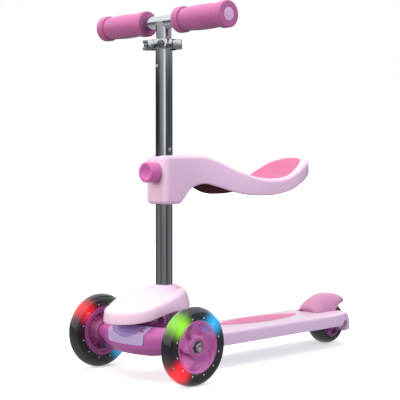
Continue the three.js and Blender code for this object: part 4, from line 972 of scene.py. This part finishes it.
# ---- Clamp --------------------------------------------------------------------------------------
# Two halves pressed from steel plate grip the mast's slit end. A bolt closes one ear; on the other a forked
# quick-release lever swings on its pin and lies round the back of the mast. A domed stud finishes the front.
CLAMP_HIGH = 16.5
CLAMP_BAND = (14.6, 17.8)
CLAMP_PLATE = (0.6, 4.6)
PIN = (-31, 2.6)
BOLT_X = 22
RIVET_DIMPLE_X = -15.6
CLAMP_TURN = 33                             # degrees
PLATE_END = -26.5                           # where the plates stop, beside the lever's pin
CLAMP_FOOT = 534.5
CLAMP = at(0, MAST_Y, CLAMP_FOOT) @ Matrix.Rotation(math.radians(CLAMP_TURN), 4, "Z")
LEVER_PLATE = -32.5                         # the outer face of the lever's fork


def clamp_half(sign):
    inner, outer = CLAMP_BAND
    near, far = CLAMP_PLATE
    bend = math.asin(far / outer)
    seam = math.asin(near / inner)
    outline = [(30, near), (30, far)]
    outline += arc(outer, np.linspace(bend, math.pi - bend, 33))
    outline += [(PLATE_END, far), (PLATE_END, near)]
    outline += arc(inner, np.linspace(math.pi - seam, seam, 33))
    radii = [0.6, 1.2] + [2] + [0] * 31 + [2] + [1.2, 0.6] + [0] * 33
    return plate([(x, sign * y) for x, y in rounded(outline, radii, 3)], 0, CLAMP_HIGH, 0.7)


def hexagon(radius):
    return arc(radius, full_turn(6))


def across_clamp(x):
    return at(x, 0, CLAMP_HIGH / 2) @ TO_FRONT


clamp_steel = steel("bright_nickel_steel", "#A4A8AA", "#8E9294", 0.24, 260, 0.000012)
front_half = build("clamp_front_half", moved(clamp_half(-1), CLAMP), chrome, sharp=50)
rivet_hole = lathe([(0, 3), (1.4, 3), (2.4, 5.4), (0, 5.4)], 24, False)
cut(front_half, moved(rivet_hole, CLAMP @ across_clamp(RIVET_DIMPLE_X)))
fit(front_half, "deck", "dark_hardware", "clamp_front")
eye = moved(lathe(rounded(rectangle(1.7, 5.4, 4, 11.1), 0.5), 32), at(*PIN, 0))
eye_web = plate(rectangle(-30, 0.8, -25, 4.4), 5.4, 11.1, 0.5)
rear_half = build("clamp_rear_half", moved(joined(clamp_half(1), eye, eye_web), CLAMP), clamp_steel, sharp=50)
fit(rear_half, "deck", "dark_hardware", "clamp_rear")

head = joined(plate(hexagon(4.3), 4.9, 7.9, 0.5), lathe(rectangle(0, -9, 2.5, 5), 32, False))
clamp_bolt = build("clamp_bolt_head", moved(head, CLAMP @ across_clamp(BOLT_X)), bright_steel)
cut(clamp_bolt, moved(plate(hexagon(1.9), 6, 9, 0.1), CLAMP @ across_clamp(BOLT_X)))
fit(clamp_bolt, "deck", "bright_hardware", "clamp_bolt")
rivet_profile = [(0, -6.2), (2.5, -6.2), (2.5, 4.9), (3.7, 4.9), (3.6, 6), (2.9, 7), (1.6, 7.7), (0, 7.9)]
rivet_part = lathe(rivet_profile, 40, False)
rivet = build("clamp_rivet_head", moved(rivet_part, CLAMP @ across_clamp(-BOLT_X)), bright_steel)
fit(rivet, "deck", "bright_hardware", "clamp_rivet")
stud_profile = [(0, 14.9), (1.9, 14.9), (1.9, 18.1), (5.9, 18.1), (6.6, 18.8), (6.6, 20), (6.1, 21.1),
                (4.8, 22), (2.8, 22.4), (0, 22.5)]
stud = build("clamp_stud_dome", moved(lathe(stud_profile, 56, False), CLAMP @ across_clamp(0)), zinc_steel)
fit(stud, "deck", "dark_hardware", "clamp_stud")
dress(bright_steel, "clamp_lever_pin")
dress(zinc_steel, "clamp_nut")

LEVER_ARM = (21, 23.6)
arm_ends = (math.acos(16 / 22.3), math.pi - math.asin(10.4 / 22.3))
arm_outline = arc(LEVER_ARM[1], np.linspace(*arm_ends, 31))
arm_outline += arc(LEVER_ARM[0], np.linspace(*arm_ends[::-1], 31))
lever_parts = [plate(arm_outline, 0, CLAMP_HIGH, 0.8),
               plate(rounded(rectangle(LEVER_PLATE, 10.4, -18.6, 13), 1), 0, CLAMP_HIGH, 0.8),
               plate(rounded(rectangle(LEVER_PLATE, 3, -29.5, 13), 1), 0, CLAMP_HIGH, 0.8)]
prong = rounded([(-36.6, 0.6), (-33, 0.2), (-28.4, -1.2), (-27, 2.6), (-28.6, 6.4), (-33, 5.2),
                 (-36.6, 4.6)], 1.6)
for low in (0, 11.6):
    lever_parts.append(plate(prong, low, low + 4.9, 0.7))
lever = build("clamp_lever_fork", moved(joined(*lever_parts), CLAMP), clamp_steel, sharp=50)
fit(lever, "clamp_lever", "dark_hardware", "clamp_lever")


# ---- Handlebar ----------------------------------------------------------------------------------
# The stem and the crossbar are chromed steel tubes; the stem's end is coped to the bar and welded round.
# The grips are soft foamed rubber, barrel-shaped between two flanges, with a pale plug in each end.
STEM_RADIUS = 12.7
STEM_FOOT = 430
STEM_WALL = 1.5
BAR_Z = 580
BAR_RADIUS = 11.1
BAR_WALL = 1.5
BAR_HALF = 140
GRIP = (38, 151)
FLANGE = 14.5
FLANGE_RADIUS = 21.3
GRIP_RADIUS = 17.9
GRIP_SWELL = 2.4


def sweep(path, radius, facets=10):
    """A round bead along a path of points."""
    path = np.array(path, float)
    along = np.gradient(path, axis=0)
    rings = []
    for point, direction in zip(path, along):
        frame_of = Vector(direction).to_track_quat("Z", "Y").to_matrix()
        ring = [np.array(frame_of @ Vector((x, y, 0))) + point for x, y in arc(radius, full_turn(facets))]
        rings.append(ring)
    return loft(rings)


def cope(y):
    """The height at which the stem's wall meets the crossbar."""
    return BAR_Z - math.sqrt(max(0.01, BAR_RADIUS ** 2 - y * y))


stem_columns = []
stem_inner = STEM_RADIUS - STEM_WALL
for turn in full_turn(120):
    column = []
    for radius, top in ((stem_inner, False), (STEM_RADIUS, False), (STEM_RADIUS, True), (stem_inner, True)):
        x, y = radius * math.cos(turn), radius * math.sin(turn)
        column.append((x, y, cope(y) if top else STEM_FOOT))
    stem_columns.append(column)
stem = build("stem", moved(loft(stem_columns, loop=True), at(0, MAST_Y, 0)), chrome)
fit(stem, "handlebar", "mast_metal", "stem_tube")
dress(black_rubber, "stem_end_plug")

bar_section = rectangle(BAR_RADIUS - BAR_WALL, -BAR_HALF, BAR_RADIUS, BAR_HALF)
bar = build("crossbar_tube", moved(lathe(bar_section, 96), at(0, MAST_Y, BAR_Z) @ ALONG_X), chrome)
fit(bar, "handlebar", "mast_metal", "crossbar")
beads = []
for sign in (1, -1):
    path = []
    for turn in np.linspace(-1.05, 1.05, 41):
        y = STEM_RADIUS * math.sin(turn)
        path.append((sign * STEM_RADIUS * math.cos(turn), y, cope(y) + 0.3 * math.sin(turn * 38)))
    beads.append(sweep(path, 1.5))
weld = build("stem_weld", moved(joined(*beads), at(0, MAST_Y, 0)), bright_steel)
fit(weld, "handlebar", "mast_metal")

grip_rubber = soft_rubber("orchid_foamed_rubber", "#C26E9F", "#BD6899", 0.9, 0.00003, 0.42)
plug_plastic = moulded("pale_orchid_plug", "#F2C4E2", "#EEBEDD", 0.34)
body_start, body_end = GRIP[0] + FLANGE, GRIP[1] - FLANGE
inner_flange = rounded(rectangle(14, GRIP[0], FLANGE_RADIUS, body_start), [0, 2.6, 2.2, 0])[1:-1]
outer_flange = rounded(rectangle(14, body_end, FLANGE_RADIUS, GRIP[1]), [0, 2.2, 2.4, 0])[1:-1]
grip_profile = [(BAR_RADIUS + 0.2, GRIP[0]), *inner_flange]
for share in np.linspace(0, 1, 25):
    swell = GRIP_SWELL * math.sin(math.pi * share) ** 0.8
    grip_profile.append((GRIP_RADIUS + swell, blend(body_start + 0.9, body_end - 0.9, share)))
grip_profile += [*outer_flange, (BAR_RADIUS + 0.2, GRIP[1])]
plug_profile = [(0, 126), (9.3, 126), (9.3, 140.3), (BAR_RADIUS, 140.3), (BAR_RADIUS, 150.2), (10.6, 150.8),
                (9.8, GRIP[1]), (0, GRIP[1])]
for side, sign in (("left", 1), ("right", -1)):
    end = at(0, MAST_Y, BAR_Z) @ outward(sign)
    grip = build("grip_sleeve_" + side, moved(lathe(grip_profile, 96), end), grip_rubber, sharp=55)
    fit(grip, "handlebar", "grip_rubber", "grip_" + side)
    plug = build("grip_end_plug_" + side, moved(lathe(plug_profile, 64, False), end), plug_plastic)
    fit(plug, "handlebar", "pale_plastic", "grip_plug_" + side)


# ---- Seat ---------------------------------------------------------------------------------------
# The seat is one pale-pink moulding: a block that slides on the mast, a neck, and a saddle that dips and
# turns up at its end. It is open below, and the walls of its hollow are coloured dark maroon as painted
# shade.
SEAT = (24.5, 382.5)
SEAT_TOP = 360.5
SEAT_FOOT = 280
BLOCK_HALF = 26
SADDLE_HALF = 62
SADDLE_ROUND = 300                          # where the saddle's end starts to round off
SEAT_WALL = 4
FRONT_ROUND = 9                             # the block's upright front edges
RIM_ROUND = 7
TAIL_ROUND = 13                             # the same edge, once it has grown rounder at the tail
DISH_DEPTH = 7
HOLLOW_SHADE_FROM = 112
SEAT_BORE = 17.4
BORE_CUT = (200, 420)                       # the cut runs out past the block above and below
BUSH = (14.7, 17.3)                         # the sleeve between seat and mast
TOP_KNOTS = [(20, 0), (60, 0), (78, 0), (113, -1), (131, -6.5), (148, -13.5), (167, -22.5), (184, -28.5),
             (204, -35.5), (225, -39.5), (250, -40.5), (277, -38.5), (303, -30.5), (323, -20.5), (346, -9),
             (365, -4.5), (388, -3.5)]
FOOT_KNOTS = [(20, 0), (50, 0), (60, 0.5), (68, 7), (78, 19), (95, 30), (112, 33), (129, 29), (146, 24),
              (165, 18), (194, 12.5), (225, 11), (263, 13), (303, 22), (326, 32), (350, 39), (388, 42)]
seat_top = height_line([(y, SEAT_TOP + z) for y, z in TOP_KNOTS])
seat_foot = height_line([(y, SEAT_FOOT + z) for y, z in FOOT_KNOTS])


def seat_half(y, shrink=0):
    """Half the seat's width at y, once its plan has been drawn in by shrink all round."""
    half = blend(BLOCK_HALF, SADDLE_HALF, smooth(70, 240, y)) - shrink
    corner = FRONT_ROUND - shrink
    lead = SEAT[0] + FRONT_ROUND - y
    if lead > 0:
        half -= corner - math.sqrt(max(0, corner * corner - lead * lead))
    if y > SADDLE_ROUND:
        share = min(1, (y - SADDLE_ROUND) / (SEAT[1] - shrink - SADDLE_ROUND))
        half *= math.sqrt(1 - share * share)
    return max(0.15, half)


def dish(x, y):
    """How far the saddle's middle lies below its rim."""
    across = 1 - np.minimum(1, np.abs(x) / max(seat_half(y), 1)) ** 2
    return DISH_DEPTH * across * smooth(150, 230, y) * (1 - smooth(SEAT[1] - 60, SEAT[1], y))


def rolled(y, radius, height, sign):
    """An edge that rolls over from the wall to the top (sign 1) or to the foot (sign -1)."""
    room = max(0, min(y - SEAT[0], SEAT[1] - y, radius))
    last = math.acos(1 - room / radius)
    return [(seat_half(y, radius * (1 - math.cos(t))), height - sign * radius * (1 - math.sin(t)))
            for t in np.linspace(0, last, 7)]


def seat_ring(y):
    top, foot = seat_top(y), seat_foot(y)
    tail = smooth(310, 370, y)
    foot_round = blend(blend(8, 3, smooth(70, 112, y)), 9, tail)
    rim = rolled(y, blend(RIM_ROUND, TAIL_ROUND, tail), top, 1)
    sole = rolled(y, foot_round, foot, -1)
    half = rim[-1][0]
    surface = [(x, rim[-1][1] - dish(x, y)) for x in np.linspace(half, -half, 25)[1:-1]]
    hollow = smooth(108, 126, y) * (1 - smooth(SEAT[1] - 14, SEAT[1] - 6, y))
    roof = blend(sole[-1][1] + 0.02, top - SEAT_WALL - DISH_DEPTH * smooth(150, 230, y), hollow)
    inner = min(seat_half(y, SEAT_WALL), sole[-1][0])
    soft = min(1.5, inner / 2, (roof - sole[-1][1]) / 2)
    cavity = [(inner, sole[-1][1]), (inner, roof - soft), (inner - soft, roof)]
    outside = [*sole[::-1], *rim, *surface]
    outside += [(-x, z) for x, z in rim[::-1]] + [(-x, z) for x, z in sole]
    inside = [(-x, z) for x, z in cavity] + cavity[::-1]
    return [(x, y, z) for x, z in outside + inside], len(outside)


seat_stations = [SEAT[0] + run for run in (0, 0.3, 0.9, 1.8, 3, 4.5, 6.2, 8, 9)]
seat_stations += [40, 50, *np.linspace(60, SADDLE_ROUND, 72)]
seat_stations += [blend(SADDLE_ROUND, SEAT[1], math.sin(t)) for t in np.linspace(0, math.pi / 2, 30)[1:]]
seat_rings = [seat_ring(y)[0] for y in seat_stations]
OUTSIDE = seat_ring(200)[1]                 # points of a ring that lie on the outside
seat_part = loft(seat_rings)
around = len(seat_rings[0])
# The walls of the seat's hollow take a dark maroon: painted shade inside the seat.
shaded_walls = []
for k in range(len(seat_part[1])):
    station, place_round = divmod(k, around)
    wall_face = station < len(seat_rings) - 1 and OUTSIDE <= place_round < around - 1
    shaded_walls.append(int(wall_face and seat_stations[station] > HOLLOW_SHADE_FROM))
hollow_shade_finish = soft_rubber("maroon_painted_hollow_shade", "#74363F", "#682E38", 1.6, 0.00008, 0.7)
seat = build("seat_saddle", seat_part, pale_plastic, hollow_shade_finish, looks=shaded_walls, sharp=44)
mast_hole = moved(lathe(rectangle(0, BORE_CUT[0], SEAT_BORE, BORE_CUT[1]), 64, False), at(0, MAST_Y, 0))
cut(seat, mast_hole, sharp=44)
fit(seat, "seat", "pale_plastic", "seat_shell")

bush_profile = rounded(rectangle(BUSH[0], SEAT_FOOT + 1.5, BUSH[1], SEAT_TOP - 1.5), 0.8)
bush = build("seat_bush_sleeve", moved(lathe(bush_profile, 72), at(0, MAST_Y, 0)), plug_plastic)
fit(bush, "seat", "black_rubber", "seat_bush")


# ---- Seat pad -----------------------------------------------------------------------------------
# A soft skinned-foam pad is glued into the saddle's dish, with a rim of the shell left bare all round. It is
# slightly crowned and its edge rolls down to the shell.
PAD = (171, 364)
PAD_INSET = 15


def pad_half(y):
    share = (y - PAD[0]) / (PAD[1] - PAD[0])
    front = min(1, share / 0.3)
    narrowed = math.sqrt(max(0, front * (2 - front)))
    return max(0.5, seat_half(y, PAD_INSET) * narrowed)


pad_rings = []
for turn in np.linspace(0.02, math.pi - 0.02, 70):
    y = blend(*PAD, 0.5 - 0.5 * math.cos(turn))
    half = pad_half(y)
    ends = min(1, 3.2 * math.sin(turn) ** 0.9)
    upper = []
    for share in np.linspace(-1, 1, 41):
        x = half * share
        crown_up = (0.3 + 1.5 * ends * (1 - share * share)) + 1.1 * ends * (1 - abs(share) ** 9)
        upper.append((x, y, seat_top(y) - dish(x, y) + crown_up - 0.4))
    lower = [(half * share, y, seat_top(y) - dish(half * share, y) - 2.5) for share in np.linspace(1, -1, 21)]
    pad_rings.append(upper + lower)
pad_foam = soft_rubber("rose_skinned_foam", "#CB6790", "#C6618B", 1.1, 0.00005, 0.5)
pad = build("seat_pad_foam", loft(pad_rings), pad_foam, sharp=70)
fit(pad, "seat", "pad_foam", "seat_pad")


# ---- Seat knob ----------------------------------------------------------------------------------
# The knob that releases the seat: a turned-looking polypropylene moulding with a dished face, on a steel pin.
KNOB_Z = 333
knob_face = rounded([(9, 3), (17, 3), (17, 22), (12, 22), (9, 20), (0, 18.4)], [0, 2.2, 2.4, 1.6, 3, 0])
knob_profile = [(0, -13.4), (4, -13.4), (4, 0.5), (9, 0.5), (9, 3), *knob_face[1:-1], (0, 18.4)]
knob_plastic = moulded("orchid_polypropylene", "#D772B2", "#D16BAC", 0.3)
knob_place = at(0, SEAT[0], KNOB_Z) @ TO_FRONT
knob = build("seat_release_knob", moved(lathe(knob_profile, 80, False), knob_place), knob_plastic)
fit(knob, "seat_knob", "deep_plastic", "seat_knob")


# ---- Studio -------------------------------------------------------------------------------------
# A white sweep under soft boxes: one broad light above and ahead, a lilac fill from the side, and a
# striped surround that only gloss sees, which gives the chrome its bright and dark bands.
CAMERA = (1365.52, -1189.5, 363.56)         # from the ground below the front axle
CAMERA_TURN = 46.06
CAMERA_PITCH = 2.39
LENS = 100.02
FLOOR_HALF = 9000


def in_place(x, y, z):
    return Vector((x * MM, AXLE_Y + y * MM, z * MM))


lens = bpy.data.cameras.new("camera")
lens.lens = LENS
lens.sensor_width = 36
camera = bpy.data.objects.new("camera", lens)
camera.location = in_place(*CAMERA)
camera.rotation_euler = (math.radians(90 - CAMERA_PITCH), 0, math.radians(CAMERA_TURN))
bpy.context.scene.collection.objects.link(camera)
bpy.context.scene.camera = camera

floor_finish, tree, place = new_finish("white_paper_sweep")
fibre = add(tree, "TexNoise", {"Vector": place, "Scale": 30, "Detail": 2})
tone = add(tree, "MapRange", {"Value": fibre.outputs["Fac"], "To Min": 0.93, "To Max": 0.95})
# The paper glows by painted light: half strength near the scooter, full strength far off, so that the lamps'
# shadow still shows near it while far paper reads pure white.
away = add(tree, "VectorMath", {0: place}, operation="LENGTH").outputs["Value"]
lift = add(tree, "MapRange", {"Value": away, "From Min": 0.5, "From Max": 1.6, "To Min": 0.5, "To Max": 1.0})
floor_shader = add(tree, "BsdfPrincipled", {
    "Base Color": tone.outputs["Result"], "Roughness": 0.9, "Emission Color": (1, 1, 1, 1),
    "Emission Strength": lift.outputs["Result"]})
show(tree, floor_shader)
corners = [(x, y, 0) for x, y in rectangle(-FLOOR_HALF, -FLOOR_HALF, FLOOR_HALF, FLOOR_HALF)]
floor = build("floor", (np.array(corners, float), [(0, 1, 2, 3)]), floor_finish)
floor.visible_diffuse = False
floor.visible_glossy = False


def soft_box(name, place_mm, energy, size, colour):
    """A square soft light at a place, aimed at the middle of the scooter."""
    light = bpy.data.lights.new(name, "AREA")
    light.energy = energy
    light.size = size
    light.color = linear(colour)[:3]
    box = bpy.data.objects.new(name, light)
    box.location = in_place(*place_mm)
    aim = in_place(0, 220, 250) - box.location
    box.rotation_euler = aim.to_track_quat("-Z", "Y").to_euler()
    box.visible_glossy = False
    bpy.context.scene.collection.objects.link(box)


soft_box("overhead", (-300, -200, 2300), 35, 1.6, "#FFFBFD")
soft_box("front", (-300, -2300, 900), 30, 1.2, "#FFF6FA")
soft_box("side", (2400, 500, 600), 24, 1.4, "#EAE0FF")

world = bpy.data.worlds.new("studio")
bpy.context.scene.world = world
world.use_nodes = True
sky = world.node_tree
sky.nodes.clear()


def bands(tree, factor, stops):
    """A ramp of greys or colours through (position, value) stops."""
    ramp = add(tree, "ValToRGB", {"Fac": factor})
    elements = ramp.color_ramp.elements
    while len(elements) < len(stops):
        elements.new(0.5)
    for element, (position, value) in zip(elements, stops):
        element.position = position
        element.color = [value] * 3 + [1] if np.isscalar(value) else [*value, 1]
    return ramp.outputs["Color"]


toward = add(sky, "TexCoord").outputs["Generated"]
height = add(sky, "SeparateXYZ", {0: toward}).outputs["Z"]
level = add(sky, "MapRange", {"Value": height, "From Min": -1, "From Max": 1}).outputs["Result"]
turned = add(sky, "Mapping", {"Vector": toward, "Rotation": (0, 0, math.radians(90 - CAMERA_TURN))})
radial = add(sky, "TexGradient", {"Vector": turned.outputs["Vector"]}, gradient_type="RADIAL").outputs["Fac"]
# Bands by the turn from the camera's own direction, half way along the ramp, to its left and right.
bright_strips = bands(sky, radial, [
    (0, 0.4), (0.04, 1.1), (0.09, 1.1), (0.11, 0.04), (0.18, 0.01), (0.3, 0.03), (0.345, 0.09), (0.385, 0.19),
    (0.5, 0.4), (0.512, 1.05), (0.548, 1.05), (0.562, 0.4), (0.59, 0.05), (0.64, 0.07), (0.74, 0.035),
    (0.785, 0.13), (0.85, 0.03), (0.93, 0.1), (1, 0.3)])
dim_strips = bands(sky, radial, [
    (0, 0.2), (0.18, 0.1), (0.28, 0.19), (0.34, 0.17), (0.375, 0.08), (0.45, 0.18), (0.55, 0.19),
    (0.6, 0.055), (0.7, 0.17), (0.79, 0.21), (0.84, 0.05), (0.93, 0.1), (1, 0.2)])
rise = add(sky, "MapRange", {"Value": height, "From Min": -0.05, "From Max": 0.02},
           interpolation_type="SMOOTHSTEP")
strips = add(sky, "Mix", {"Factor": rise.outputs["Result"], "A": dim_strips, "B": bright_strips},
             data_type="RGBA")
storeys = bands(sky, level, [(0, 0.5), (0.36, 0.42), (0.44, 0.1), (0.5, 0.4), (0.6, 0.95), (1, 1)])
# Level rays see the strips, and rays that climb or fall see the room's storeys.
tilt = bands(sky, level, [(0.22, 1), (0.4, 0), (0.537, 0), (0.575, 1)])
mirrored_room = add(sky, "Mix", {"Factor": tilt, "A": strips.outputs["Result"], "B": storeys},
                    data_type="RGBA")
fill = bands(sky, level, [(0, (0.05, 0.035, 0.06)), (0.45, (0.22, 0.19, 0.25)), (0.6, (0.5, 0.47, 0.52)),
                          (1, (0.85, 0.83, 0.85))])
rays = add(sky, "LightPath")
lit_room = add(sky, "Background", {"Color": fill, "Strength": 1.0})
gloss_room = add(sky, "Background", {"Color": mirrored_room.outputs["Result"], "Strength": 1.1})
white_room = add(sky, "Background", {"Color": (1, 1, 1, 1), "Strength": 1.0})
for_gloss = add(sky, "MixShader", {
    0: rays.outputs["Is Glossy Ray"], 1: lit_room.outputs[0], 2: gloss_room.outputs[0]})
for_camera = add(sky, "MixShader", {
    0: rays.outputs["Is Camera Ray"], 1: for_gloss.outputs[0], 2: white_room.outputs[0]})
add(sky, "OutputWorld", {"Surface": for_camera.outputs[0]})

bpy.context.scene.view_settings.view_transform = "Standard"
